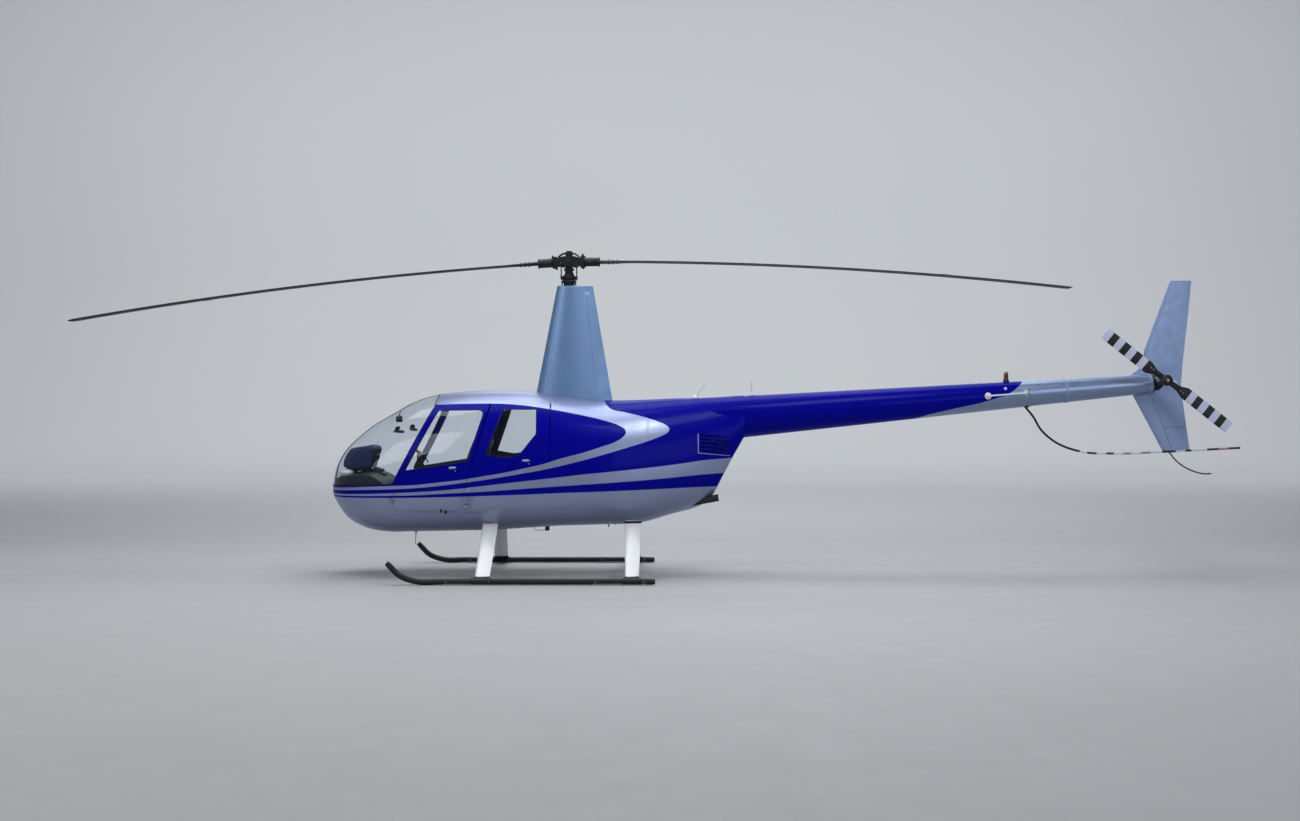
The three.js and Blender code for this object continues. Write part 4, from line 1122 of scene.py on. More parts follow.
def hinge_leaf(side, hinge, on_door):
    """One knuckle with its arm, of a hinge's pair."""
    _, x, y, level, door_x, frame_arm, depth = hinge
    low = level + (KNUCKLE["height"] + FIT if on_door else 0)
    top = low + KNUCKLE["height"]
    half = KNUCKLE["arm"] / 2
    reach = door_x + KNUCKLE["reach"]
    x0, x1 = (x, reach) if on_door else (x - frame_arm, x)
    x2, x3 = (door_x, reach) if on_door else (x - frame_arm, x - 0.004)
    r = KNUCKLE["radius"]
    foot = [(0.4 * r, low), (0.9 * r, low), (r, low + 0.001)]
    head = [(r, top - 0.001), (0.9 * r, top), (0.4 * r, top)]
    turned = lathe(foot + head, (x, side * y, 0), sides=24)
    across = sorted((side * (y - half), side * (y + half)))
    inner = sorted((side * (y - depth), side * (y + half)))
    arm = block((x0, across[0], low + 0.001), (x1, across[1], top - 0.001))
    root = block((x2, inner[0], low + 0.001), (x3, inner[1], top - 0.001))
    return combine(turned, arm, root)


def add_hinges():
    for label, side in SIDES.items():
        for kind in DOORS:
            rows = [hinge for hinge in HINGES if hinge[0] == kind]
            for on_door in (False, True):
                body = f"{kind}_{label}_door_body" if on_door else "airframe"
                name = f"{kind}_{label}_hinge_{'door' if on_door else 'frame'}"
                shape = combine(*(hinge_leaf(side, row, on_door) for row in rows))
                painted_piece(name, shape, body, 0.001)


# Columns: door, station and height of the handle, length, lean in degrees.
HANDLES = [
    ("front", -1.094, 1.080, 0.076, 4),
    ("rear", -0.385, 1.150, 0.080, 0),
]


CUP = {"width": 0.024, "low": -0.002, "high": 0.002}
# Columns: share of the handle's length from its middle, height off the skin, radius.
LEVER_ROWS = [
    (-0.42, 0.003, 0.003), (-0.2, 0.013, 0.0045), (0.05, 0.017, 0.005), (0.3, 0.015, 0.0045),
    (0.42, 0.008, 0.003),
]


def door_handle(x, z, length, lean, side):
    """The cup, the lever on its boss, and the lock of one door."""
    c, s = math.cos(math.radians(lean)), math.sin(math.radians(lean))
    base = [(x + u * c - v * s, z + u * s + v * c) for u, v in oval(0, 0, length, CUP["width"], 28)]
    cup = skin_pad(base, side, CUP["low"], CUP["high"])
    points, ways = skin_places([(x + share * length, z + 0.004) for share, _, _ in LEVER_ROWS], side)
    lift = np.array([height for _, height, _ in LEVER_ROWS])[:, None]
    lever = tube(points + lift * ways, [radius for _, _, radius in LEVER_ROWS], 12)
    places, ways = skin_places([(x - 0.36 * length, z + 0.002), (x + 0.35 * length, z - 0.030)], side)
    boss = bolt(places[0], ways[0], 0.007, 0.006, 20)
    lock = stud(places[1], ways[1], radius=0.006, height=0.003, sides=20)
    return [(cup, "silver"), (combine(lever, boss), "aluminium"), (lock, "steel")]


def add_handles():
    for label, side in SIDES.items():
        for kind, *row in HANDLES:
            body = f"{kind}_{label}_door_body"
            piece(f"{kind}_{label}_handle", door_handle(*row, side), body)


# Cabin and cowl fittings, placed by (station, height) on both sides

HATCH = dense(rounded([(0.90, 1.16, 0.03), (1.22, 1.18, 0.03), (1.22, 1.42, 0.03), (0.90, 1.42, 0.03)]), 0.03)


def cowl_screw_places():
    rows = [(COWL_SEAM_X + dx, z) for dx in (-0.014, 0.014) for z in np.arange(0.60, 1.66, 0.05)]
    rows += [(x, belly_z(x) + 0.105) for x in np.arange(0.84, 1.32, 0.05)]
    return rows + grown(HATCH, -0.012)[::3]


def add_skin_details():
    """Seams and fasteners on both sides of the cowl."""
    seam = [(COWL_SEAM_X, z) for z in np.linspace(0.56, 1.72, 60)]
    lower_seam = [(x, belly_z(x) + 0.12) for x in np.linspace(0.70, 1.34, 40)]
    for label, side in SIDES.items():
        lines = combine(
            skin_line(seam, side, 0.004, 0.0012),
            skin_line(lower_seam, side, 0.003, 0.001),
            skin_line(HATCH, side, 0.0025, 0.0008, True),
        )
        painted_piece(f"cowl_seams_{label}", lines)
        heads = studs(zip(*skin_places(cowl_screw_places(), side)), radius=0.003, height=0.0012)
        painted_piece(f"cowl_screws_{label}", heads)


def add_cowl_rim():
    """The pale rim round the cowl's open rear end."""
    edge = [(1.440, 0.795), (1.550, 1.015), (1.636, 1.177), (1.742, 1.362)]
    for label, side in SIDES.items():
        line = skin_line([(x - 0.003, z) for x, z in smooth(edge, 40)], side, 0.003, 0.0015)
        piece(f"cowl_rim_{label}", [(line, "white")], "airframe")


# Section of the hood over a louvre: across the slot, out from the skin.
HOOD = [(0.002, -0.004), (0.004, 0.0), (0.001, 0.007), (-0.009, 0.010), (-0.010, 0.0085), (0.0, 0.005)]


def louvre_frame(side):
    """The pale and the dark line round the louvres."""
    x0, x1 = LOUVRES["x"]
    fore, aft = x0 - 0.02, x1 + 0.012
    pale = dense([(fore, 1.405), (fore, 1.215), (aft, 1.185)], 0.03, False)
    dark = dense([(aft, 1.185), (aft, 1.375), (fore, 1.405)], 0.03, False)
    return skin_line(pale, side, 0.003, 0.002), skin_line(dark, side, 0.002, 0.0015)


def add_louvres():
    x0, x1 = LOUVRES["x"]
    for label, side in SIDES.items():
        profile = [(-side * a, h) for a, h in HOOD]
        hoods = []
        for i in range(LOUVRES["count"]):
            z = LOUVRES["z"] + i * LOUVRES["pitch"] + LOUVRES["height"]
            stations = np.linspace(x0 - 0.004, x1 + 0.004, 16)
            path = [(x, z - LOUVRES["fall"] * (x - x0) / (x1 - x0)) for x in stations]
            points, ways = skin_places(path, side)
            hoods.append(moulding(points, ways, profile, False))
        pale, dark = louvre_frame(side)
        parts = [(combine(*hoods, dark), "blue"), (pale, "silver")]
        piece(f"louvre_hoods_{label}", parts, "airframe", sharp=25)


# Profiles behind the lamp's face: share of its radius, or radius, and depth.
BOWL = [
    (0.9, -0.012), (0.62, -0.030), (0.25, -0.040), (0.02, -0.041), (0.02, -0.044), (0.3, -0.044),
    (0.7, -0.034), (1.0, -0.014), (1.0, 0.0),
]
BULB = [(0.012, -0.041), (0.012, -0.020), (0.008, -0.012), (0.001, -0.010)]


def add_landing_lights(glass_skin):
    r = LAMP["radius"]
    bowl = [(r - 0.002, 0.0)] + [(share * r, depth) for share, depth in BOWL]
    for label, side in SIDES.items():
        name = f"landing_light_{label}"
        lens = carve(copy_of(glass_skin, f"{name}_lens"), ("&", lamp_bar(side, r)))
        dress_skin(lens, "glass", "glass", GLASS, False)
        keep(lens, "airframe", [name])
        face = (LAMP["face"], side * LAMP["y"], LAMP["z"])
        reflector = lathe(bowl, face, (-1, 0, 0), 40, True)
        bulb = lathe(BULB, face, (-1, 0, 0), 20)
        piece(f"{name}_reflector", [(reflector, "chrome"), (bulb, "lamp")], "airframe")


# Columns: station, height under the skin, of the tow hook's wire.
HOOK_WIRE = [
    (-0.345, 0.01), (-0.345, -0.034), (-0.335, -0.042), (-0.245, -0.042), (-0.235, -0.034),
    (-0.235, 0.01),
]
# Columns: station, distance from the middle, how far each drain hangs below the skin.
DRAINS = [(-0.20, -0.10, 0.018), (-0.16, 0.12, 0.018), (0.40, -0.08, 0.03), (0.46, 0.07, 0.02)]
# Columns: station, height, width and height of each static vent.
STATIC_VENTS = [(-1.208, 0.664, 0.016, 0.046), (-1.166, 0.652, 0.030, 0.034)]


def add_belly_fittings():
    """Tow hook, drains and vents under the cabin."""
    skin = belly_z(-0.3)
    hook = tube([(x, 0, skin + z) for x, z in HOOK_WIRE], 0.0035, 10)
    catch = block((-0.238, -0.016, skin - 0.046), (-0.196, 0.016, skin + 0.008))
    plate = block((-0.36, -0.03, skin - 0.004), (-0.25, 0.03, skin + 0.006))
    drains = [rod((x, y, 0.50), (x, y, belly_z(x) - drop), 0.007, 0.005, 12) for x, y, drop in DRAINS]
    parts = [(combine(catch, *drains), "dark_metal"), (combine(plate, hook), "aluminium")]
    piece("belly_fittings", parts, "airframe")
    marks = []
    for vent in STATIC_VENTS:
        marks += [(skin_pad(oval(*vent), side, -0.002, 0.004), "dark_metal") for side in SIDES.values()]
    piece("static_vents", marks, "airframe")


# Tailcone
# Columns: station of the lap joint, half its width, how far it stands up.
CONE_SEAMS = [(1.860, 0.016, 0.0010), (2.800, 0.010, 0.0006), (3.730, 0.014, 0.0010), (4.620, 0.010, 0.0006)]


def on_cone(x, angle):
    """A point on the tailcone's skin, at an angle from its crown towards the left."""
    way = np.array([0, -math.sin(angle), math.cos(angle)])
    return np.array([x, 0, cone_z(x)]) + cone_r(x) * way, way


CONE_RING_SCREWS = 44
CONE_ROW_SCREWS = (math.radians(148), math.radians(-148))
MARKER = [(0.016, -0.004), (0.016, 0.004), (0.012, 0.012), (0.001, 0.016)]


def add_tailcone():
    shapes = [cone(CONE_FRONT_X, CONE_X[1], 0, 96, 150)]
    heads = []
    for x, half, high in CONE_SEAMS:
        shapes.append(cone(x - half, x + half, high, 96, 4))
        for edge in (-0.6 * half, 0.6 * half):
            heads += [on_cone(x + edge, angle) for angle in around(CONE_RING_SCREWS)]
    for angle in CONE_ROW_SCREWS:
        heads += [on_cone(x, angle) for x in np.arange(1.80, 5.80, 0.05)]
    made = piece("tailcone_skin", [(combine(*shapes), "cone"), (studs(heads), "cone")],
                 "airframe", ["tailcone"])
    paint_field(made, "bare", BARE_CONE_EDGE, [(4.9, 2.4), (9, 2.4), (9, 1.0), (3.2, 1.0)])
    add_cone_fittings()


def add_cone_fittings():
    """Two collars near the cone's end and a pale marker on its left side."""
    collar = combine(cone(4.955, 4.985, 0.004), cone(CONE_X[1] - 0.03, CONE_X[1], 0.003))
    screws = studs([on_cone(4.97, angle) for angle in around(24)], radius=0.004, height=0.0065)
    piece("cone_collars", [(collar, "fin"), (screws, "steel")], "airframe")
    marker = lathe(MARKER, *on_cone(4.347, math.radians(60)), 24)
    piece("cone_marker", [(marker, "white")], "airframe")


# Tail surfaces, as (station, height) edges from bottom to top
FIN_Y = 0.113
FIN_THICK = 0.026
UPPER_FIN = {
    "front": [(5.640, 1.900), (5.642, 1.980), (5.746, 2.058), (5.780, 2.129), (5.792, 2.235), (6.052, 2.938)],
    "rear": [(6.165, 1.900), (6.183, 2.118), (6.240, 2.628), (6.270, 2.938)],
}
LOWER_FIN = {
    "front": [(5.977, 1.221), (5.661, 1.814), (5.615, 1.900)],
    "rear": [(6.252, 1.232), (6.182, 1.730), (6.165, 1.900)],
}
STABILIZER = {"x": (5.630, 6.130), "z": 1.860, "y": (0.1263, 0.930), "thick": 0.036}


def fin_edges(fin, z):
    """Stations of a fin's front and rear edge at a height."""
    edges = (zip(*fin[key]) for key in ("front", "rear"))
    return tuple(float(np.interp(z, heights, stations)) for stations, heights in edges)


def fin_row(fin, z):
    nose, tail = fin_edges(fin, z)
    return z, nose, tail - nose, FIN_THICK


def fin_half(fin, x, z):
    nose, tail = fin_edges(fin, z)
    return half_across(x - nose, tail - nose, FIN_THICK, 16)


def fin_places(fin, path):
    for side in (-1, 1):
        for x, z in path:
            yield np.array([x, FIN_Y + side * fin_half(fin, x, z), z]), (0, side, 0)


def fin_strip(fin, path, side):
    points = [(x, FIN_Y + side * fin_half(fin, x, z), z) for x, z in path]
    return flat_strip(points, (0, side, 0), 0.002, -0.001, 0.0006)


def add_fin(name, fin, z0, z1, tip, spar, ribs, line_finish, node):
    """A streamlined fin from its root height to its tip height, with a spar line, rib lines and rivets."""

    def along(z, share):
        nose, tail = fin_edges(fin, z)
        return nose + share * (tail - nose)

    rows = round_tip([fin_row(fin, z) for z in np.linspace(z0, z1, 40)], tip)
    skin = loft(wing_rings(rows, lambda z, x, t: (x, FIN_Y + t, z), 24))
    low, high = sorted((z0, z1))
    spar_path = [(along(z, spar), z) for z in np.linspace(low + 0.02, high - 0.02, 30)]
    strips, heads = [], list(fin_places(fin, spar_path))
    for side in (-1, 1):
        strips.append(fin_strip(fin, spar_path, side))
        for z in ribs:
            rib = [(x, z) for x in np.linspace(along(z, spar), along(z, 0.97), 14)]
            strips.append(fin_strip(fin, rib, side))
    for z in ribs:
        row = [(along(z, share), z + 0.008) for share in np.linspace(spar + 0.03, 0.94, 12)]
        heads += list(fin_places(fin, row))
    parts = [(skin, "fin"), (combine(*strips), line_finish), (studs(heads, radius=0.002), "fin")]
    piece(name, parts, "airframe", [node])


def add_fins():
    add_fin("upper_fin_skin", UPPER_FIN, 1.9002, 2.938, 0.014, 0.30, (2.12, 2.43, 2.75), "fin", "upper_fin")
    add_fin("lower_fin_skin", LOWER_FIN, 1.8998, 1.2215, 0.012, 0.36, (1.461,), "seam", "lower_fin")
    add_stabilizer()


def add_stabilizer():
    z, thick = STABILIZER["z"], STABILIZER["thick"]
    x0, x1 = STABILIZER["x"]
    y0, y1 = STABILIZER["y"]
    chord = x1 - x0
    rows = round_tip([(y, x0, chord, thick) for y in np.linspace(y0, y1, 30)], 0.030)
    plane = loft(wing_rings(rows, lambda y, x, t: (x, y, z + t), 24))
    heads = []
    for share in (0.28, 0.72):
        rise = half_across(share * chord, chord, thick, 24)
        for side in (-1, 1):
            across = np.arange(y0 + 0.03, y1 - 0.04, 0.04)
            heads += [((x0 + share * chord, y, z + side * rise), (0, 0, side)) for y in across]
    piece("stabilizer_skin", [(plane, "fin"), (studs(heads), "fin")], "airframe",
          ["horizontal_stabilizer"])


# Tail rotor
TAIL_AXIS = (5.878, 1.928)
TAIL_Y = -0.360
TAIL_REST = 38.3
# Columns: radius, chord, thickness.
TAIL_BLADE = [(0.040, 0.046, 0.030), (0.140, 0.060, 0.026), (0.215, 0.122, 0.018), (0.765, 0.122, 0.014)]
BAND_FROM = 0.261
BAND = 0.072


TAIL_STATIONS = [0.045, 0.09, 0.14, 0.165, 0.19, 0.215, *(BAND_FROM + BAND * i for i in range(7)), 0.758]
# The pale bands take the tail blades' darker white, whose colour holds painted shade.
TAIL_COLOURS = ["black"] * 6 + ["shaded_tail_white", "black"] * 3 + ["shaded_tail_white"] * 2
TAIL_TIP = (0.765, 0.93)
TAIL_HUB = [
    (0.012, -0.036), (0.030, -0.034), (0.040, -0.026), (0.054, -0.018), (0.054, 0.014), (0.040, 0.024),
    (0.026, 0.028), (0.026, 0.079), (0.012, 0.079),
]


def tail_frame(turn):
    """The ways out along a tail blade and across it, and the rotor's centre."""
    angle = math.radians(TAIL_REST + turn)
    out = np.array([math.cos(angle), 0, -math.sin(angle)])
    across = np.array([math.sin(angle), 0, math.cos(angle)])
    return out, across, np.array([TAIL_AXIS[0], TAIL_Y, TAIL_AXIS[1]])


def tail_blade_rings(turn):
    out, across, centre = tail_frame(turn)
    rings = []
    for r, squeeze in [(r, 1) for r in TAIL_STATIONS] + [TAIL_TIP]:
        chord, thick = columns_at(TAIL_BLADE, r)
        rings.append([
            centre + out * r + across * (c - 0.4 * chord) * squeeze + np.array([0, t * squeeze, 0])
            for c, t in streamline(chord, thick, 14)
        ])
    return rings


def add_tail_rotor():
    for name, turn in (("tail_blade_aft", 0), ("tail_blade_forward", 180)):
        out, _, centre = tail_frame(turn)
        parts = bands(tail_blade_rings(turn), TAIL_COLOURS)
        sleeve = tube([centre + out * r for r in (0.045, 0.06, 0.13, 0.15)], [0.020, 0.024, 0.024, 0.017], 20)
        pins = [bolt(centre + out * r + (0, side * 0.0105, 0), (0, side, 0), 0.006, 0.006)
                for r in (0.17, 0.20) for side in (-1, 1)]
        parts += [(sleeve, "black"), (combine(*pins), "steel")]
        piece(f"{name}_banded", parts, "tail_rotor", [name])
    add_tail_hub()


def add_tail_hub():
    x, z = TAIL_AXIS
    hub = lathe(TAIL_HUB, (x, TAIL_Y, z), (0, 1, 0), 40)
    cap = bolt((x, TAIL_Y - 0.035, z), (0, -1, 0), 0.014, 0.012)
    spider, links = [], []
    for turn in (0, 180):
        out, across, centre = tail_frame(turn)
        tip = centre + out * 0.050 + across * 0.045
        spider.append(rod(centre + (0, 0.055, 0), tip + (0, 0.055, 0), 0.010, 0.007, 12))
        links.append(rod(tip + (0, 0.060, 0), tip + out * 0.045 + (0, 0.004, 0), 0.005, 0.005, 10))
        links.append(stud(tip + (0, 0.048, 0), (0, -1, 0), radius=0.009, height=0.008, sides=14))
    parts = [(hub, "dark_metal"), (cap, "steel"), (combine(*spider), "dark_metal"),
             (combine(*links), "aluminium")]
    piece("tail_hub_assembly", parts, "tail_rotor", ["tail_rotor_hub"])


GEARBOX_AXIS = (1, 0, 0.081)
GEARBOX_FLANGE = [
    (0.030, 0), (0.090, 0.0), (0.0925, 0.003), (0.0925, 0.012), (0.086, 0.016), (0.070, 0.020),
]
GEARBOX_CASE = [
    (0.070, 0.018), (0.068, 0.050), (0.062, 0.080), (0.050, 0.106), (0.030, 0.120), (0.010, 0.124),
]
GEARBOX_RIBS = (0.034, 0.050, 0.066)
GEARBOX_OUTPUT = [
    (0.060, -0.02), (0.058, 0.05), (0.048, 0.085), (0.042, 0.10), (0.036, 0.20), (0.034, 0.262),
    (0.040, 0.266), (0.040, 0.276), (0.030, 0.280),
]
SIGHT_GLASS = [(0.014, 0), (0.014, 0.008), (0.009, 0.010), (0.001, 0.010)]


def add_tail_gearbox():
    x, z = TAIL_AXIS
    end = CONE_X[1]
    middle = cone_z(end)
    flange = lathe(GEARBOX_FLANGE, (end + FIT, 0, middle), GEARBOX_AXIS, 48)
    case = lathe(GEARBOX_CASE, (end + FIT, 0, middle), GEARBOX_AXIS, 40)
    ribs = []
    for h in GEARBOX_RIBS:
        rib = [(0.066, h), (0.073, h + 0.001), (0.073, h + 0.005), (0.066, h + 0.006)]
        ribs.append(lathe(rib, (end, 0, middle), GEARBOX_AXIS, 40, True))
    output = lathe(GEARBOX_OUTPUT, (x, 0, z), (0, -1, 0), 40)
    lug = block((end + 0.03, 0.02, z - 0.028), (5.99, FIN_Y - FIN_THICK / 2 - FIT, z + 0.028))
    heads = [bolt((end + 0.012, 0.082 * math.sin(a), middle + 0.082 * math.cos(a)), (1, 0, 0), 0.006, 0.007)
             for a in around(12)]
    sight = lathe(SIGHT_GLASS, (x - 0.02, -0.055, z - 0.03), (-0.3, -1, -0.3), 20)
    parts = [(combine(flange, case, *ribs, output), "dark_metal"), (lug, "dark_metal"),
             (combine(*heads), "steel"), (sight, "glass_red")]
    piece("tail_gearbox_case", parts, "airframe", ["tail_gearbox"])


GUARD_RADIUS = 0.011
GUARD_ROUTE = [
    (4.577, 0, 1.657), (4.653, 0.008, 1.564), (4.724, 0.016, 1.446), (4.867, 0.032, 1.320),
    (5.135, 0.062, 1.218), (5.500, 0.095, 1.196), (5.959, FIN_Y, 1.211), (6.250, FIN_Y, 1.226),
    (6.760, FIN_Y, 1.252),
]
TAIL_SKID_ROUTE = [
    (6.050, FIN_Y, 1.208), (6.080, FIN_Y, 1.163), (6.160, FIN_Y, 1.086), (6.290, FIN_Y, 1.017),
    (6.393, FIN_Y, 0.991), (6.471, FIN_Y, 0.993),
]
# Columns: station where the band starts, its colour.
GUARD_BANDS = [
    (4.4, "black"), (5.12, "white"), (5.197, "red"), (5.292, "white"), (5.398, "red"), (5.484, "white"),
    (5.585, "pale_red"), (5.665, "white"), (5.765, "pale_red"), (5.850, "white"), (5.963, "black"),
    (6.110, "white"), (6.215, "black"), (6.270, "white"), (6.426, "red"), (6.547, "pale_red"),
    (6.640, "red"),
]


GUARD_FOOT = [(0.034, -0.004), (0.034, 0.002), (0.024, 0.007), (0.013, 0.010), (0.013, 0.018)]
SKID_CLIP = [(0.008, 0), (0.013, 0.002), (0.013, 0.020), (0.008, 0.022)]
CORNER_BOLTS = (0.8, 2.4, 3.9, 5.5)  # angles of the four screws of a round foot


def add_guard():
    path = smooth(GUARD_ROUTE, 121)
    middle = (path[:-1, 0] + path[1:, 0]) / 2
    starts = [row[0] for row in GUARD_BANDS]
    colours = [GUARD_BANDS[int(np.searchsorted(starts, x)) - 1][1] for x in middle]
    rings = tube_rings(path, GUARD_RADIUS, 16)
    piece("tail_guard_tube", bands(rings, colours), "airframe", ["tail_guard"])
    skid = tube(smooth(TAIL_SKID_ROUTE, 40), [0.007] * 37 + [0.0075, 0.007, 0.004], 14)
    clip = lathe(SKID_CLIP, (6.048, FIN_Y, 1.211), (0.55, 0, -0.83), 20)
    piece("tail_skid_rod", [(skid, "dark_metal"), (clip, "steel")], "airframe", ["tail_skid"])
    point, way = on_cone(GUARD_ROUTE[0][0], math.pi)
    foot = lathe(GUARD_FOOT, point, way, 28)
    bolts = [bolt(point + np.array([0.024 * math.cos(a), 0.024 * math.sin(a), -0.003]), way, 0.004, 0.004)
             for a in CORNER_BOLTS]
    piece("guard_foot", [(foot, "dark_metal"), (combine(*bolts), "steel")], "airframe")


# Main rotor
HUB_Z = 3.117
TEETER_SLOPE = 0.0326
DROOP_SLOPE = 0.0262
DROOP_CURVE = 1.168e-2
# Columns: radius, chord, thickness, share of the chord ahead of the blade's axis.
BLADE = [
    (0.240, 0.084, 0.044, 0.5), (0.420, 0.170, 0.036, 0.34), (0.640, 0.254, 0.022, 0.27),
    (1.500, 0.254, 0.022, 0.25), (4.950, 0.254, 0.022, 0.25), (5.010, 0.215, 0.018, 0.20),
]
LINK = {"x": 0.073, "y": 0.100, "top": 3.085}
# Middle line of the lever on each side of the hub, (station, height).
HUB_LEVERS = {
    -1: [(-0.162, 3.176), (-0.145, 3.105), (-0.120, 3.040)],
    1: [(0.140, 3.196), (0.136, 3.120), (0.142, 3.048)],
}


def blade_z(r, side):
    return HUB_Z - DROOP_SLOPE * r - DROOP_CURVE * r * r + side * TEETER_SLOPE * r


def blade_ring(r, side, squeeze=1.0):
    chord, thick, ahead = columns_at(BLADE, r)
    outline = streamline(chord, thick, 18)
    return [(side * r, side * (ahead * chord - c), blade_z(r, side) + t * squeeze) for c, t in outline]


# Columns: distance from the mast, radius of the sleeve round the blade's root.
GRIP = [
    (0.062, 0.030), (0.064, 0.044), (0.072, 0.0475), (0.080, 0.043), (0.086, 0.0475), (0.094, 0.043),
    (0.100, 0.0475), (0.108, 0.043), (0.114, 0.046), (0.160, 0.046), (0.164, 0.0475), (0.176, 0.0475),
    (0.180, 0.045), (0.290, 0.044), (0.294, 0.0475), (0.308, 0.0475), (0.310, 0.0465), (0.3102, 0.030),
]
GRIP_BOLTS = (0.130, 0.150)
ROOT_BOLTS = ((0.40, 0.0), (0.44, 0.012), (0.48, 0.0))
TRIM_TAB = {"x": (3.62, 3.78), "at": 3.7, "chord": 0.018}


def add_blade(name, side, node):
    radii = [*np.linspace(0.24, 0.64, 14), *np.linspace(0.70, 4.95, 60), 4.98, 5.003]
    rings = [blade_ring(r, side) for r in radii] + [blade_ring(5.010, side, 0.5)]
    cuff = tube([blade_axis(r, side) for r, _ in GRIP], [size for _, size in GRIP], 36)
    parts = bands(rings, ["blade"] * (len(rings) - 1))
    parts += [(cuff, "black"), (pitch_horn(side), "black"), (blade_bolts(side), "dark_metal"),
              (trim_tab(side), "dark_metal")]
    piece(name, parts, "main_rotor", [node])


def blade_axis(r, side):
    return np.array([side * r, 0, blade_z(r, side)])


def pitch_horn(side):
    """The arm from a blade's sleeve to its pitch link."""
    path = [blade_axis(0.072, side) + (0, side * 0.02, -0.012), (side * 0.074, side * 0.062, 3.097),
            (side * 0.074, side * 0.100, 3.096)]
    return tube(smooth(path, 14), [*np.linspace(0.019, 0.012, 12), 0.012, 0.009], 16)


def blade_bolts(side):
    up = unit(np.array([side * (DROOP_SLOPE - side * TEETER_SLOPE), 0, 1.0]))
    heads = []
    for r in GRIP_BOLTS:
        heads += [bolt(blade_axis(r, side) + up * s * 0.044, up * s, 0.014, 0.016) for s in (-1, 1)]
    for r, y in ROOT_BOLTS:
        place = (side * r, side * y, blade_z(r, side))
        height = 0.5 * columns_at(BLADE, r)[1] + 0.006
        heads += [bolt(place, up * s, 0.008, height) for s in (-1, 1)]
    return combine(*heads)


def trim_tab(side):
    chord, _, ahead = columns_at(BLADE, TRIM_TAB["at"])
    y = side * (ahead * chord - chord)
    x0, x1 = sorted(side * x for x in TRIM_TAB["x"])
    y0, y1 = sorted((y, y - side * TRIM_TAB["chord"]))
    z = blade_z(TRIM_TAB["at"], side)
    return block((x0, y0, z - 0.001), (x1, y1, z + 0.001))


YOKE_HALF = [(0.058, 0.050, 0.012)]
CHEEK_HALF = [(0.060, 0.052, 0.03), (0.150, 0.030, 0.02)]
CHEEK_Y = (0.048, 0.062)
STRUT = [(0.030, 3.206), (0.066, 3.196), (0.108, 3.166)]
MAST = [
    (0.040, 1.601), (0.040, 3.040), (0.036, 3.044), (0.036, 3.190), (0.040, 3.194), (0.040, 3.199),
    (0.030, 3.201),
]
MAST_NUT = [(0.038, 3.199), (0.036, 3.203), (0.031, 3.203), (0.031, 3.221), (0.027, 3.227), (0.012, 3.227)]
MAST_RING = [(0.041, 3.03), (0.050, 3.03), (0.052, 3.045), (0.045, 3.052), (0.041, 3.052)]


def hub_plate(half, low, high):
    """A plate from (half length, half height, corner radius) corners, the same up, down, fore and aft."""
    right = [(x, -z, r) for x, z, r in half] + [(x, z, r) for x, z, r in reversed(half)]
    left = [(-x, z, r) for x, z, r in half] + [(-x, -z, r) for x, z, r in reversed(half)]
    return prism(rounded([(x, HUB_Z + z, r) for x, z, r in right + left]), low, high)


def add_hub():
    """The teetering yoke with its bolts, struts and levers."""
    plates, heads, struts = [], [], []
    for side in (-1, 1):
        plates.append(hub_plate(CHEEK_HALF, *sorted(side * y for y in CHEEK_Y)))
        heads.append(bolt((0, side * 0.061, HUB_Z), (0, side, 0), 0.022, 0.017))
        heads += [bolt((x, side * 0.061, HUB_Z), (0, side, 0), 0.015, 0.012) for x in (-0.130, 0.130)]
        heads += [bolt((x, side * 0.030, HUB_Z + 0.050), (0, 0, 1), 0.008, 0.008) for x in (-0.045, 0.045)]
        for y in (-0.046, 0.046):
            struts.append(tube([(side * x, y, z) for x, z in STRUT], 0.0055, 12))
            lever = smooth([(x, y * 1.2, z) for x, z in HUB_LEVERS[side]], 10)
            struts.append(tube(lever, [0.006, *[0.0125] * 8, 0.007], 14))
    plates.append(hub_plate(YOKE_HALF, -0.049, 0.049))
    parts = [(combine(*plates, *struts), "black"), (combine(*heads), "dark_metal")]
    piece("hub_yoke", parts, "main_rotor", ["rotor_hub"], bevel=0.002)
    add_mast()
    add_turning_swashplate()
    add_still_swashplate()


def add_mast():
    mast = lathe(MAST, (0, 0, 0), sides=40)
    nut = lathe(MAST_NUT, (0, 0, 0), sides=6)
    ring = lathe(MAST_RING, (0, 0, 0), sides=32, loop=True)
    parts = [(mast, "dark_metal"), (nut, "black"), (ring, "dark_metal")]
    piece("mast_shaft", parts, "main_rotor", ["rotor_mast"])


TURNING_RING = [
    (0.050, 2.938), (0.080, 2.938), (0.082, 2.941), (0.082, 2.953), (0.078, 2.956), (0.082, 2.959),
    (0.082, 2.969), (0.079, 2.972), (0.060, 2.974), (0.050, 2.990), (0.042, 2.992), (0.042, 2.938),
]
STILL_RING = [
    (0.047, 2.868), (0.047, 2.930), (0.076, 2.930), (0.078, 2.927), (0.078, 2.917), (0.062, 2.911),
    (0.055, 2.902), (0.053, 2.868),
]
LINK_RADII = [0.009, 0.009, 0.0055, 0.0055, 0.0075, 0.0055, 0.0055, 0.009, 0.009]
LINK_END = [(0.004, -0.009), (0.012, -0.008), (0.014, 0), (0.012, 0.008), (0.004, 0.009)]
# Columns: angle of each rod under the still plate, distance of its foot from the mast.
SUPPORTS = [(math.radians(90), 0.055), (math.radians(210), 0.082), (math.radians(330), 0.082)]


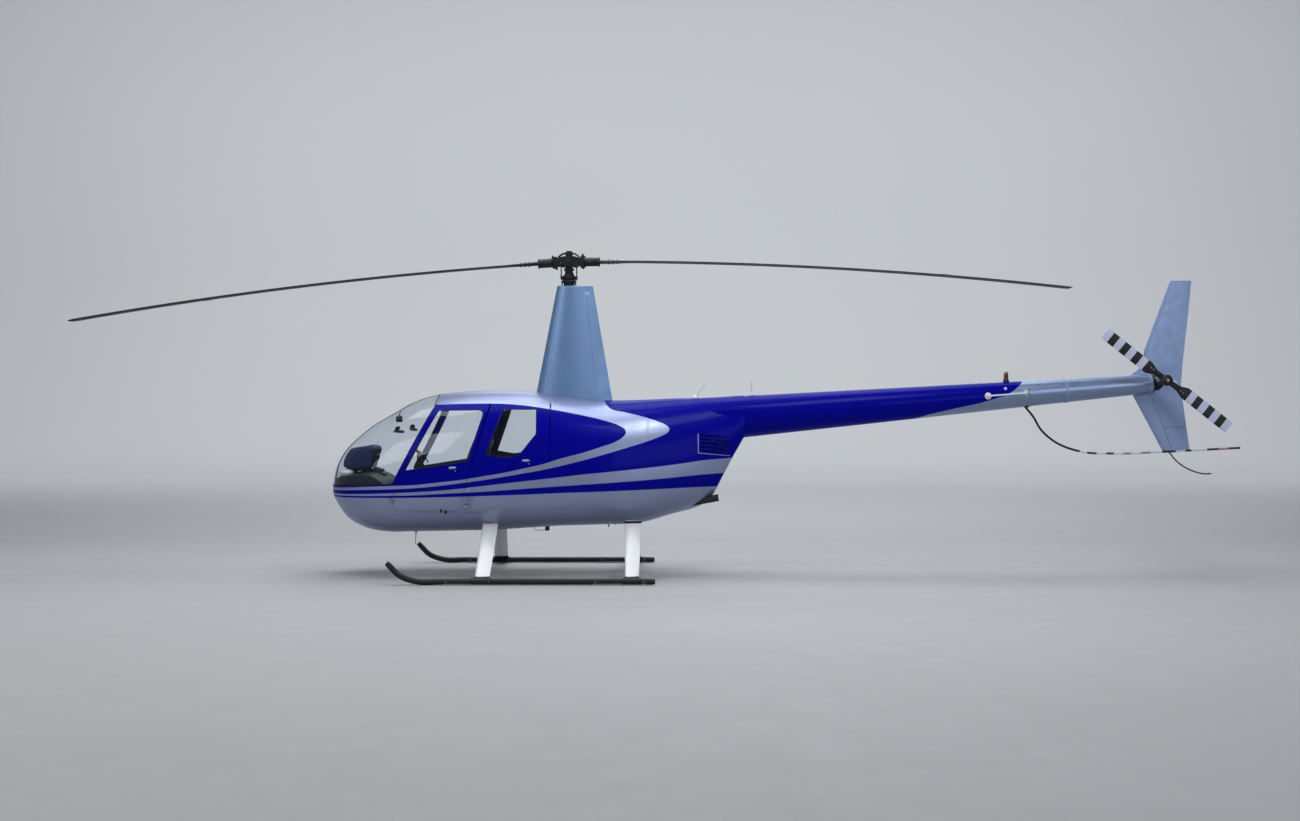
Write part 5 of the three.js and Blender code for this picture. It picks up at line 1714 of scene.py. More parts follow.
def add_turning_swashplate():
    """The upper plate with its arms, the links up to the blades and the folding scissor."""
    ring = lathe(TURNING_RING, (0, 0, 0), sides=48, loop=True)
    arms, scissor, links, ends = [], [], [], []
    for side in (-1, 1):
        foot = np.array([side * LINK["x"], side * LINK["y"], 2.955])
        arms.append(tube([foot * (0.4, 0.4, 1), foot * (0.8, 0.8, 1), foot], [0.014, 0.012, 0.010], 16))
        top = foot * (1, 1, 0) + (0, 0, LINK["top"])
        path = [foot + s * (top - foot) for s in np.linspace(0, 1, len(LINK_RADII))]
        links.append(tube(path, LINK_RADII, 16))
        ends += [lathe(LINK_END, p, (1, 0, 0), 20) for p in (foot, top + (0, 0, 0.006))]
        knee = (side * 0.040, -side * 0.092, 3.000)
        route = [(side * 0.052, -side * 0.045, 2.965), knee, (side * 0.030, -side * 0.040, 3.045)]
        scissor.append(tube(route, 0.007, 12))
        scissor.append(stud(knee, (side, 0, 0), radius=0.011, height=0.008, sides=16))
    parts = [(ring, "dark_metal"), (combine(*arms, *scissor), "black"), (combine(*links), "black"),
             (combine(*ends), "dark_metal")]
    piece("swashplate_turning", parts, "main_rotor", ["swashplate_upper"])


def add_still_swashplate():
    ring = lathe(STILL_RING, (0, 0, 0), sides=48, loop=True)
    rods = []
    for angle, foot in SUPPORTS:
        way = np.array([math.cos(angle), math.sin(angle), 0])
        top = way * 0.074 + (0, 0, 2.920)
        rods.append(tube([way * 0.06 + (0, 0, 2.920), top], 0.009, 14))
        rods.append(rod(top, way * foot + (0, 0, 2.864), 0.007, 0.007, 12))
    parts = [(ring, "dark_metal"), (combine(*rods), "black")]
    piece("swashplate_still", parts, "airframe", ["swashplate_lower"])


# Mast fairing
# Columns of foot and head: nose station, chord, thickness.
FAIRING = {
    "foot": (-0.329, 0.754, 0.215), "head": (-0.118, 0.357, 0.130), "foot_z": 1.790, "top": 2.876,
    "sunk": 0.012, "patch": (0.180, 2.800, 0.050, 0.040),
}


def fairing_row(z):
    share = (z - FAIRING["foot_z"]) / (FAIRING["top"] - FAIRING["foot_z"])
    return (z, *(a + share * (b - a) for a, b in zip(FAIRING["foot"], FAIRING["head"])))


def fairing_half(x, z):
    _, nose, chord, thick = fairing_row(z)
    return half_across(x - nose, chord, thick, 24)


def fairing_strip(path, side):
    points = [(x, side * fairing_half(x, z), z) for x, z in path]
    return flat_strip(points, (0, side, 0), 0.002, -0.001, 0.001)


def fairing_line(share, low):
    """A line up the fairing's side, at a share of its chord."""
    rows = [fairing_row(z) for z in np.linspace(low, 2.868, 40)]
    return [(nose + share * chord, z) for z, nose, chord, _ in rows]


def add_mast_fairing():
    rows = [fairing_row(z) for z in np.linspace(1.66, FAIRING["top"] - 0.004, 50)]
    z, nose, chord, thick = fairing_row(FAIRING["top"])
    rows.append((z, nose + 0.002, chord - 0.004, thick - 0.006))
    tower = new_object("mast_fairing_skin", loft(wing_rings(rows, lambda z, x, t: (x, t, z), 28)))
    tidy_faces(tower.data)
    hole = rod((0, 0, 1.5), (0, 0, 3.2), MAST_HOLE, MAST_HOLE, 48)
    carve(tower, ("-", hull(FAIRING["sunk"], *COARSE)), ("-", hole))
    cover(tower, "fairing")
    shade_smooth(tower.data, 40)
    keep(tower, "airframe", ["mast_fairing"])
    add_fairing_seams()
    add_fairing_foot()


def add_fairing_seams():
    lines, heads = [], []
    for side in (-1, 1):
        for path in (fairing_line(0.14, 1.84), fairing_line(0.80, 1.80)):
            lines.append(fairing_strip(path, side))
            heads += [((x + 0.01, side * fairing_half(x + 0.01, z), z), (0, side, 0)) for x, z in path[1::2]]
    parts = [(combine(*lines), "fairing"), (studs(heads), "fairing")]
    piece("fairing_seams", parts, "airframe")


def add_fairing_foot():
    """The bead where the fairing meets the roof, and a round patch near its top."""
    foot, patch = [], []
    for side in (-1, 1):
        points = []
        for x in np.linspace(-0.325, 0.424, 50):
            y = side * (fairing_half(x, crown_z(x)) + 0.001)
            points.append((x, y, float(surface_z(x, y)) + 0.001))
        foot.append(flat_strip(points, (0, 0, 1), 0.016, -0.004, 0.002))
        levels = [[(x, side * (fairing_half(x, z) + rise), z) for x, z in oval(*FAIRING["patch"])]
                  for rise in (-0.002, 0.0015)]
        patch.append(loft(levels))
    parts = [(combine(*foot), "fairing"), (combine(*patch), "patch")]
    piece("fairing_foot", parts, "airframe")


def surface_z(x, y):
    """Height of the fuselage's upper skin at a station and a distance from its middle."""
    crown, _, wide, half, above, _ = (np.interp(x, ROWS[:, 0], ROWS[:, c]) for c in range(1, 7))
    return wide + (crown - wide) * max(1 - (abs(y) / half) ** above, 0) ** (1 / above)


# Landing gear
SKID_Y = 1.090
SKID_Z = 0.033
SKID_R = 0.028
SKID_ROUTE = [
    (0.860, SKID_Z), (0.250, SKID_Z), (-0.500, SKID_Z), (-1.150, SKID_Z), (-1.400, 0.039),
    (-1.530, 0.085), (-1.655, 0.205),
]
# Columns: name, station at the top, station at the skid, chord at the top, chord at the skid.
LEGS = [("front", -0.740, -0.770, 0.150, 0.140), ("rear", 0.646, 0.640, 0.162, 0.130)]
LEG = {"thick": 0.062, "y": 0.440, "z": 0.560}
# Columns: front and rear end of each flat wear shoe under a skid.
SHOES = [(-1.150, -0.650), (0.250, 0.800)]


SKID_PLUG = [(0.026, -0.002), (0.026, 0.003), (0.020, 0.006), (0.001, 0.006)]
SADDLE = {"ends": (-1, -0.96, 0.96, 1), "radii": [0.0285, 0.0325, 0.0325, 0.0285], "past": 0.028}


def add_landing_gear():
    for label, side in SIDES.items():
        y = side * SKID_Y
        path = smooth([(x, y, z) for x, z in SKID_ROUTE], 90)
        size = np.full(90, SKID_R)
        size[0], size[-1] = 0.8 * SKID_R, 0.8 * SKID_R
        plug = lathe(SKID_PLUG, path[-1], unit(path[-1] - path[-2]), 24)
        shoes, bolts = wear_shoes(y)
        parts = [(tube(path, size, 28), "black"), (plug, "rubber"), (shoes, "steel"), (bolts, "steel"),
                 (leg_saddles(y), "black")]
        piece(f"{label}_skid_tube", parts, "airframe", [f"{label}_skid"])
        for name, *leg in LEGS:
            add_leg(f"{name}_{label}_leg", side, *leg)


def wear_shoes(y):
    shoes, heads = [], []
    for x0, x1 in SHOES:
        outline = [(x0, 0.0, 0.002), (x1, 0.0, 0.002), (x1 - 0.03, 0.020, 0.008), (x0 + 0.03, 0.020, 0.008)]
        shoes.append(prism(rounded(outline), y - 0.022, y + 0.022))
        heads += [bolt((x, y + s * 0.0275, SKID_Z), (0, s, 0), 0.006, 0.006)
                  for x in (x0 + 0.05, x1 - 0.05) for s in (-1, 1)]
    return combine(*shoes), combine(*heads)


def leg_saddles(y):
    """The sleeve round the skid under each leg, with its bolts."""
    saddles = []
    for _, _, foot_x, _, chord in LEGS:
        span = 0.5 * chord + SADDLE["past"]
        saddles.append(tube([(foot_x + s * span, y, SKID_Z) for s in SADDLE["ends"]], SADDLE["radii"], 32))
        saddles += [bolt((foot_x + s * 0.8 * span, y + w * 0.032, SKID_Z + 0.004), (0, w, 0), 0.006, 0.007)
                    for s in (-1, 1) for w in (-1, 1)]
    return combine(*saddles)


LEG_CUFFS = ((0.035, 0.085), (0.955, 0.995))
CUFF_GROWTH = 0.003


def add_leg(node, side, top_x, foot_x, top_chord, foot_chord):
    def row(s, grow=0.0):
        chord = foot_chord + s * (top_chord - foot_chord)
        nose = foot_x + s * (top_x - foot_x) - chord / 2
        return s, nose - grow, chord + 2 * grow, LEG["thick"] + 2 * grow

    def place(s, x, t):
        y = SKID_Y + s * (LEG["y"] - SKID_Y)
        return (x, side * y + t, SKID_Z + s * (LEG["z"] - SKID_Z))

    fairing = loft(wing_rings([row(s) for s in np.linspace(0.045, 1, 24)], place, 20))
    cuffs = []
    for s0, s1 in LEG_CUFFS:
        rows = [row(s0), row(s0, CUFF_GROWTH), row(s1, CUFF_GROWTH), row(s1)]
        cuffs.append(loft(wing_rings(rows, place, 20)))
    parts = [(fairing, "white"), (cuffs[0], "black"), (cuffs[1], "rubber")]
    piece(f"{node}_fairing", parts, "airframe", [node])


# Beacon and antennas

BEACON_X = 4.377
BEACON_BASE = [(0.010, 0), (0.030, 0), (0.030, 0.020), (0.028, 0.034), (0.025, 0.038), (0.010, 0.038)]
BEACON_FOOT = [(0.010, 0.036), (0.023, 0.036)]
BEACON_TOP = [(0.0225, 0.092), (0.019, 0.104), (0.013, 0.112), (0.006, 0.117), (0.001, 0.118)]


def add_beacon():
    seat = (BEACON_X, 0, cone_z(BEACON_X) + cone_r(BEACON_X) - 0.012)
    base = lathe(BEACON_BASE, seat, sides=40)
    ridges = []
    for i in range(7):
        ridges += [(0.0235, 0.042 + i * 0.007), (0.0222, 0.0455 + i * 0.007)]
    dome = lathe(BEACON_FOOT + ridges + BEACON_TOP, seat, sides=40)
    piece("beacon_lamp", [(base, "dark_metal"), (dome, "beacon")], "airframe", ["beacon"])


WHIP = {"along": (0, 0.1, 0.9, 0.985, 1), "radii": [0.007, 0.0065, 0.0045, 0.0045, 0.0015]}


def whip(foot, tip, pad):
    """A thin antenna, its round base and the base's screws."""
    foot, tip = np.array(foot, float), np.array(tip, float)
    up = np.array([0, 0, math.copysign(1, tip[2] - foot[2])])
    mast = tube([foot + s * (tip - foot) for s in WHIP["along"]], WHIP["radii"], 16)
    profile = [(pad, -0.010), (pad, 0.008), (0.9 * pad, 0.013), (0.55 * pad, 0.017), (0.40 * pad, 0.027)]
    base = lathe(profile + [(0.008, 0.030)], foot, up, 32)
    screws = [bolt(foot + up * 0.009 + 0.78 * pad * np.array([math.cos(a), math.sin(a), 0]), up, 0.003, 0.004)
              for a in CORNER_BOLTS]
    return mast, base, combine(*screws)


# Columns: node, foot, tip, radius of the pad.
WHIPS = [
    ("roof_antenna", (1.262, 0, 1.755), (1.372, 0, 1.913), 0.034),
    ("cone_antenna", (1.828, 0, 1.785), (1.828, 0, 1.923), 0.022),
    ("belly_antenna", (-1.533, 0, 0.430), (-1.538, 0, 0.290), 0.020),
]


# Columns: station and height of each post of the side antenna, its finish.
SIDE_POSTS = [(4.171, 1.775, "white"), (4.554, 1.805, "aluminium")]
SIDE_POST = [
    (0.034, -0.020), (0.034, 0.003), (0.028, 0.006), (0.014, 0.010), (0.012, 0.046), (0.009, 0.050),
    (0.001, 0.0505),
]


def add_antennas():
    for node, foot, tip, pad in WHIPS:
        mast, base, screws = whip(foot, tip, pad)
        parts = [(mast, "white"), (base, "white"), (screws, "steel")]
        piece(f"{node}_whip", parts, "airframe", [node])
    ends = [(x, -(cone_r(x) + 0.042), z) for x, z, _ in SIDE_POSTS]
    parts = [(tube(ends, 0.008, 20), "white")]
    for x, z, finish_name in SIDE_POSTS:
        parts.append((lathe(SIDE_POST, (x, -cone_r(x), z), (0, -1, 0), 32), finish_name))
    piece("side_antenna_bar", parts, "airframe", ["side_antenna"])


# Behind the firewall

FAN = {"x": 0.620, "z": 0.985, "vanes": 28}
SCROLL = [
    (0.120, 0.0003), (0.290, 0.0003), (0.300, 0.010), (0.300, 0.150), (0.290, 0.170), (0.262, 0.185),
    (0.230, 0.190), (0.210, 0.190), (0.206, 0.180), (0.210, 0.040), (0.120, 0.040),
]
# Columns: distance behind the fan's front, radius, turn of each corner of a vane.
VANE = [(0.05, 0.120, 0.0), (0.05, 0.196, 0.16), (0.16, 0.196, 0.22), (0.16, 0.120, 0.06)]
FAN_HUB = [(0.010, 0.04), (0.118, 0.04), (0.112, 0.08), (0.080, 0.13), (0.040, 0.165), (0.010, 0.17)]
EXHAUST_ROUTE = [
    (0.630, -0.150, 0.645), (0.900, -0.150, 0.662), (1.250, -0.150, 0.722), (1.490, -0.150, 0.766),
]
EXHAUST = {"outside": 0.035, "inside": 0.032, "clamp": 0.038, "clamps": (8, 22)}
MUFFLER_ROUTE = [(0.66, -0.150, 0.648), (0.70, -0.150, 0.650), (0.90, -0.150, 0.662), (0.94, -0.150, 0.666)]
MUFFLER_RADII = [0.036, 0.05, 0.062] + [0.066] * 10 + [0.062, 0.05, 0.036]


def fan_point(x, radius, angle):
    return np.array([FAN["x"] + x, radius * math.sin(angle), FAN["z"] + radius * math.cos(angle)])


def fan_vane(turn):
    ring = [fan_point(x, radius, turn + twist) for x, radius, twist in VANE]
    way = unit(np.cross(ring[1] - ring[0], ring[2] - ring[0]))
    return loft([[p - 0.001 * way for p in ring], [p + 0.001 * way for p in ring]])


def add_engine_bay():
    centre = fan_point(0, 0, 0)
    shell = lathe(SCROLL, centre, (1, 0, 0), 64, True)
    vanes = [fan_vane(2 * math.pi * i / FAN["vanes"]) for i in range(FAN["vanes"])]
    hub = lathe(FAN_HUB, centre, (1, 0, 0), 48)
    angles = np.linspace(0, 6.28, 16, endpoint=False)
    heads = [bolt(fan_point(0.188, 0.245, a), (1, 0, 0), 0.006, 0.006) for a in angles]
    parts = [(shell, "fibreglass"), (combine(*vanes), "aluminium"), (hub, "engine"),
             (combine(*heads), "steel")]
    piece("cooling_fan", parts, "airframe", ["fan_scroll"])
    add_exhaust()


def add_exhaust():
    path = smooth(EXHAUST_ROUTE, 40)
    outer = tube_rings(path, EXHAUST["outside"], 28)
    inner = tube_rings(path[::-1], EXHAUST["inside"], 28)
    wall = loft(list(outer) + [outer[-1] * 0.1 + inner[0] * 0.9] + list(inner), loop=True)
    clamps = []
    for i in EXHAUST["clamps"]:
        reach = 0.01 * unit(path[i + 1] - path[i])
        clamps.append(tube([path[i] - reach, path[i] + reach], EXHAUST["clamp"], 28))
    muffler = tube(smooth(MUFFLER_ROUTE, 16), MUFFLER_RADII, 32)
    parts = [(wall, "dark_metal"), (combine(*clamps), "steel"), (muffler, "dark_metal")]
    piece("exhaust_stack", parts, "airframe", ["exhaust_pipe"])


# Cabin inside

LIP = {"out": 0.030, "in": 0.020, "depth": (0.029, 0.036, 0.040)}
SEAL = {"depth": (0.0012, 0.0045), "out": 0.0048, "in": -0.0005}


def add_door_lips():
    """The frame's flange behind each door, a running gap inside the door's inner face."""
    near, middle, far = (hull(depth, *COARSE) for depth in LIP["depth"])
    flange = carve(new_object("flange", middle), ("-", far))
    stand = carve(new_object("stand", near), ("-", far))
    for label, side in SIDES.items():
        for kind, (opening, _) in DOORS.items():
            edge = side_prism(grown(opening, LIP["out"]), side)
            inner = side_prism(grown(opening, -LIP["in"]), side)
            foot_edge = side_prism(grown(opening, 0.002), side)
            lip = carve(copy_of(flange, "lip"), ("&", edge), ("-", inner))
            foot = carve(copy_of(stand, "foot"), ("&", edge), ("-", foot_edge))
            painted_piece(f"{kind}_{label}_door_frame_lip", combine(take_shape(lip), take_shape(foot)))
    for made in (flange, stand):
        bpy.data.objects.remove(made)


def add_door_seals():
    """A thin painted bead round each door's edge that fills most of its running gap."""
    near, far = (hull(depth) for depth in SEAL["depth"])
    band = carve(new_object("band", near), ("-", far))
    for label, side in SIDES.items():
        for kind, (opening, _) in DOORS.items():
            outline = panel_outline(opening)
            outer = side_prism(grown(outline, SEAL["out"]), side)
            inner = side_prism(grown(outline, SEAL["in"]), side)
            bead = carve(copy_of(band, "bead"), ("&", outer), ("-", inner))
            painted_piece(f"{kind}_{label}_door_seal", take_shape(bead), f"{kind}_{label}_door_body")
    bpy.data.objects.remove(band)


def superellipse(half_width, half_height, power, count=40):
    c, s = np.cos(around(count)), np.sin(around(count))
    across = np.sign(c) * half_width * np.abs(c) ** (2 / power)
    return across, np.sign(s) * half_height * np.abs(s) ** (2 / power)


def pod_rings(rows, power):
    """Rounded sections from rows of (station, low, high, half width)."""
    rings = []
    for x, low, high, half in rows:
        y, z = superellipse(half, (high - low) / 2, power)
        rings.append(np.stack([np.full(len(y), x), y, (high + low) / 2 + z], axis=1))
    return rings


def leaned(points, origin, lean):
    """Points (across, up, out) on a face that leans back, facing aft."""
    c, s = math.cos(lean), math.sin(lean)
    return [(origin[0] + u * s + o * c, origin[1] + a, origin[2] + u * c - o * s) for a, u, o in points]


PANEL = {"origin": (-1.922, 0.0, 1.165), "lean": math.radians(15)}
# Columns: across, up, radius of each dial on the instrument face.
DIALS = [
    (-0.105, 0.062, 0.030), (-0.036, 0.062, 0.033), (0.036, 0.062, 0.033), (0.105, 0.062, 0.030),
    (-0.105, -0.012, 0.030), (-0.036, -0.014, 0.033), (0.036, -0.014, 0.033), (0.105, -0.012, 0.030),
    (-0.075, -0.074, 0.019), (-0.025, -0.076, 0.019), (0.025, -0.076, 0.019), (0.075, -0.074, 0.019),
]


def face_ring(across, up, radius, out, count=32):
    points = [(across + radius * math.cos(a), up + radius * math.sin(a), out) for a in around(count)]
    return leaned(points, PANEL["origin"], PANEL["lean"])


def face_bar(across, up, angle, start, end, half, out):
    """A tapering mark on the instrument face, along a ray from a dial's centre."""
    way = np.array([math.sin(angle), math.cos(angle)])
    side = np.array([math.cos(angle), -math.sin(angle)])
    corners = [(start, -half), (end, -half * 0.6), (end, half * 0.6), (start, half)]
    flat = [(across, up) + r * way + w * side for r, w in corners]
    levels = [[(a, u, level) for a, u in flat] for level in (out, out + 0.0006)]
    return loft([leaned(points, PANEL["origin"], PANEL["lean"]) for points in levels])


# Columns: share of a dial's radius, height above the face, of its rim.
DIAL_RIM = [(1.0, 0.0), (1.0, 0.005), (0.93, 0.007), (0.86, 0.005), (0.86, 0.0)]


def instrument_parts():
    rims, faces, marks = [], [], []
    for number, (across, up, radius) in enumerate(DIALS):
        rims.append(loft([face_ring(across, up, radius * s, out) for s, out in DIAL_RIM], loop=True))
        faces.append(loft([face_ring(across, up, 0.87 * radius, out) for out in (0.0, 0.0015)]))
        for i in range(12):
            tick = (0.66 * radius, 0.80 * radius, 0.0009, 0.0015)
            marks.append(face_bar(across, up, math.radians(30 * i), *tick))
        needle = (-0.15 * radius, 0.62 * radius, 0.0016, 0.0022)
        marks.append(face_bar(across, up, math.radians(70 * number + 200), *needle))
    return combine(*rims), combine(*faces), combine(*marks)


# Columns: station, low, high, half width.
POD_ROWS = [
    (-2.243, 1.078, 1.112, 0.085), (-2.235, 1.068, 1.140, 0.115), (-2.205, 1.052, 1.200, 0.145),
    (-2.165, 1.040, 1.252, 0.160), (-2.120, 1.026, 1.264, 0.165), (-2.020, 1.034, 1.277, 0.174),
    (-1.975, 1.040, 1.287, 0.178), (-1.950, 1.044, 1.288, 0.176),
]
PEDESTAL_ROWS = [
    (-2.060, 0.600, 1.060, 0.085), (-1.990, 0.600, 1.075, 0.092), (-1.900, 0.600, 1.060, 0.092),
    (-1.830, 0.600, 0.960, 0.092), (-1.770, 0.600, 0.790, 0.088), (-1.735, 0.600, 0.660, 0.080),
]
# Columns: height of each radio on the pedestal, how tall it is.
RADIOS = [(1.030, 0.036), (0.985, 0.036), (0.938, 0.040), (0.890, 0.036)]
KNOB = [(0.009, 0), (0.009, 0.010), (0.007, 0.012), (0.001, 0.012)]


def panel_ring(half_width, half_height, set_back):
    x, y, z = PANEL["origin"]
    points = [(a, u, 0.0) for a, u in zip(*superellipse(half_width, half_height, 5.0))]
    return leaned(points, (x - set_back, y, z), PANEL["lean"])


def radio_parts():
    radios, keys = [], []
    for z, height in RADIOS:
        x = -1.835 - (z - 0.96) * (0.55 if z > 0.96 else 0.36)
        radios.append(block((x - 0.02, -0.075, z - height / 2), (x + 0.006, 0.075, z + height / 2)))
        keys.append(block((x + 0.005, -0.045, z - height / 4), (x + 0.0075, 0.045, z + height / 4)))
        keys += [lathe(KNOB, (x + 0.005, y, z), (1, 0, 0), 20) for y in (-0.062, 0.062)]
    return combine(*radios), combine(*keys)


def add_console():
    edge, face = panel_ring(0.160, 0.112, 0.006), panel_ring(0.152, 0.104, 0.002)
    shell = loft([*pod_rings(POD_ROWS, 7.0), edge, face])
    pedestal = loft(pod_rings(PEDESTAL_ROWS, 6.0))
    rims, faces, marks = instrument_parts()
    radios, keys = radio_parts()
    parts = [(shell, "navy"), (pedestal, "plastic"), (rims, "plastic"), (faces, "dial"), (marks, "mark"),
             (radios, "plastic"), (keys, "dark_metal")]
    piece("instrument_pod", parts, "airframe", ["instrument_console"], bevel=0.0008)


def skin_inside(x, z, inset):
    """Half width inside the fuselage at a station and height."""
    return max(abs(on_skin(x, z)[1]) - inset, 0.02)


# Columns: station, low, high.
TRAY_ROWS = [
    (-2.292, 0.868, 0.940), (-2.285, 0.866, 0.972), (-2.250, 0.860, 0.990), (-2.180, 0.855, 1.000),
    (-2.080, 0.850, 1.012), (-1.980, 0.848, 1.024), (-1.900, 0.846, 1.014), (-1.830, 0.844, 0.972),
    (-1.775, 0.842, 0.930), (-1.750, 0.842, 0.880),
]
TRAY_COVER = [
    (0.060, -0.040), (0.072, -0.020), (0.074, 0.004), (0.068, 0.014), (0.050, 0.024), (0.024, 0.029),
    (0.002, 0.030),
]


def tray_ring(x, low, high):
    top, foot = skin_inside(x, high, 0.030), skin_inside(x, low, 0.034)
    crown = [(x, a * top, high - 0.10 * (high - low) * a * a) for a in np.linspace(-1, 1, 21)]
    return crown + [(x, a * foot, low) for a in np.linspace(1, -1, 21)]


def add_nose_tray():
    """The dark shelf ahead of the pedals, with its two pale covers."""
    tray = loft([tray_ring(*row) for row in TRAY_ROWS])
    covers = []
    for side in (-1, 1):
        covers.append(lathe(TRAY_COVER, (-2.207, side * 0.145, 1.020), (0.06, side * 0.12, 1.0), 40))
    slots = [block((x - 0.003, -0.30, 1.018), (x + 0.003, 0.30, 1.030)) for x in (-2.06, -2.04, -2.02)]
    parts = [(tray, "plastic"), (combine(*covers), "white"), (combine(*slots), "rubber")]
    piece("nose_tray", parts, "airframe")


STICK = [(-1.563, 0, 0.620), (-1.560, 0, 0.70), (-1.520, 0, 0.95), (-1.500, 0, 1.140)]
BOOT = [
    (0.055, 0.0), (0.050, 0.010), (0.040, 0.018), (0.043, 0.026), (0.030, 0.036), (0.033, 0.044),
    (0.020, 0.056), (0.016, 0.070),
]
CROSSBAR = [
    (-1.470, -0.275, 1.150), (-1.490, -0.12, 1.165), (-1.500, 0, 1.172), (-1.510, 0.12, 1.180),
    (-1.530, 0.275, 1.195),
]
BAR_PIVOT = [(0.010, -0.024), (0.022, -0.022), (0.022, 0.022), (0.010, 0.024)]
# Columns: distance from the middle, (station, height) along the hand grips and along the cables beside them.
GRIP_BENDS = [
    (-0.275, [(-1.400, 1.215), (-1.462, 1.160), (-1.510, 1.060)]),
    (0.275, [(-1.580, 1.245), (-1.535, 1.175), (-1.505, 1.050)]),
]
CABLE_BENDS = [
    (-0.262, [(-1.470, 1.155), (-1.430, 1.110), (-1.405, 1.055)]),
    (0.262, [(-1.530, 1.190), (-1.475, 1.150), (-1.445, 1.100)]),
]
KNURL = [0.009, 0.013, 0.015, 0.014, 0.013, 0.014, 0.015, 0.015, 0.014, 0.014, 0.015, 0.016, 0.015, 0.010]
LEVER = [(-0.93, 0.80), (-1.15, 0.86), (-1.36, 0.945)]
LEVER_GRIP = [(-1.36, 0.945), (-1.47, 0.995), (-1.50, 1.015)]
PEDAL_ARM = [(-1.90, 0.628), (-1.965, 0.70), (-2.00, 0.775)]
PEDAL = rounded([
    (-2.012, 0.735, 0.006), (-1.992, 0.735, 0.006), (-1.972, 0.838, 0.006), (-1.992, 0.838, 0.006),
])


def upright(path, y, count):
    """A smooth curve through (station, height) points at one distance from the middle."""
    return smooth([(x, y, z) for x, z in path], count)


def add_cyclic():
    stick = tube(smooth(STICK, 20), [0.017] * 3 + [0.0135] * 17, 20)
    boot = lathe(BOOT, (-1.563, 0, 0.615), (0.10, 0, 1), 32)
    bar = tube(smooth(CROSSBAR, 24), 0.0115, 16)
    pivot = lathe(BAR_PIVOT, (-1.500, 0, 1.168), (1, 0, 0), 24)
    trim = [tube([(-1.50, y, 1.172), (-1.49, y, 1.225)], [0.006, 0.004], 12) for y in (-0.05, 0.05)]
    grips = [tube(upright(bend, y, len(KNURL)), KNURL, 20) for y, bend in GRIP_BENDS]
    grips += [tube(upright(bend, y, 10), 0.006, 12) for y, bend in CABLE_BENDS]
    parts = [(combine(stick, bar, pivot, *trim), "dark_metal"), (combine(boot, *grips), "rubber")]
    piece("cyclic_control", parts, "airframe", ["cyclic_stick"])


def add_controls():
    add_cyclic()
    levers, handles = [], []
    for y in (-0.525, 0.028):
        levers.append(tube(upright(LEVER, y, 16), 0.012, 16))
        handles.append(tube(upright(LEVER_GRIP, y, 12), [0.017] * 10 + [0.018, 0.012], 20))
    parts = [(combine(*levers), "dark_metal"), (combine(*handles), "rubber")]
    piece("collective_levers", parts, "airframe")
    arms, pads = [], []
    for y in (-0.33, -0.19, 0.19, 0.33):
        arms.append(tube(upright(PEDAL_ARM, y, 12), 0.009, 14))
        arms.append(rod((-1.90, y, 0.612), (-1.90, y, 0.640), 0.020, 0.016, 20))
        pads.append(prism(PEDAL, y - 0.045, y + 0.045))
    parts = [(combine(*arms), "dark_metal"), (combine(*pads), "rubber")]
    piece("pedals", parts, "airframe", bevel=0.002)


COMPASS = (-1.700, 1.545)
# Columns: station aft of the compass, half height, half width.
COMPASS_CASE = [(-0.030, 0.026, 0.028), (-0.022, 0.032, 0.036), (0.022, 0.032, 0.036), (0.028, 0.028, 0.032)]
COMPASS_DIAL = [(0.024, 0.0), (0.024, 0.003), (0.020, 0.004), (0.001, 0.004)]
SUCTION_CUP = [
    (0.028, 0.006), (0.028, 0.010), (0.016, 0.018), (0.008, 0.026), (0.007, 0.05), (0.003, 0.055),
]
# Columns: station, height, half length of each holder on the glass.
HOLDERS = [(-1.747, 1.450, 0.064), (-1.604, 1.464, 0.046)]
# Columns: share of the half length, distance off the glass, height, for both faces of a holder.
HOLDER_FACES = [
    [(-1, 0.0, 0.008), (-0.6, 0.012, 0.018), (0.6, 0.012, 0.010),
     (1, 0.0, -0.004), (0.7, -0.012, -0.018), (-0.7, -0.012, -0.012)],
    [(-0.9, 0.012, 0.006), (-0.5, 0.021, 0.012), (0.5, 0.021, 0.006),
     (0.9, 0.012, -0.004), (0.6, 0.0, -0.014), (-0.6, 0.0, -0.010)],
]


def glass_holder(x, z, size):
    skin = on_skin(x - 0.03, z, 1)
    inward = -outward(np.array([skin]))[0]
    cup = lathe(SUCTION_CUP, skin, inward, 28)
    tip = skin + inward * 0.055
    faces = [[tip + np.array([share * size, off, up]) for share, off, up in face] for face in HOLDER_FACES]
    return combine(cup, loft(faces))


def add_screen_fittings():
    """The compass on the windshield's post and two small holders on the glass of the far side."""
    x, z = COMPASS
    case = loft(pod_rings([(x + dx, z - high, z + high, half) for dx, high, half in COMPASS_CASE], 3.5))
    dial = lathe(COMPASS_DIAL, (x + 0.027, 0, z), (1, 0, 0), 32)
    route = [(x, 0, z + 0.03), (x + 0.005, 0, z + 0.055), (x + 0.015, 0, crown_z(x + 0.015) - 0.012)]
    stem = tube(smooth(route, 10), 0.006, 12)
    parts = [(combine(case, stem), "plastic"), (dial, "dial")]
    parts += [(glass_holder(*row), "rubber") for row in HOLDERS]
    piece("windshield_fittings", parts, "airframe")


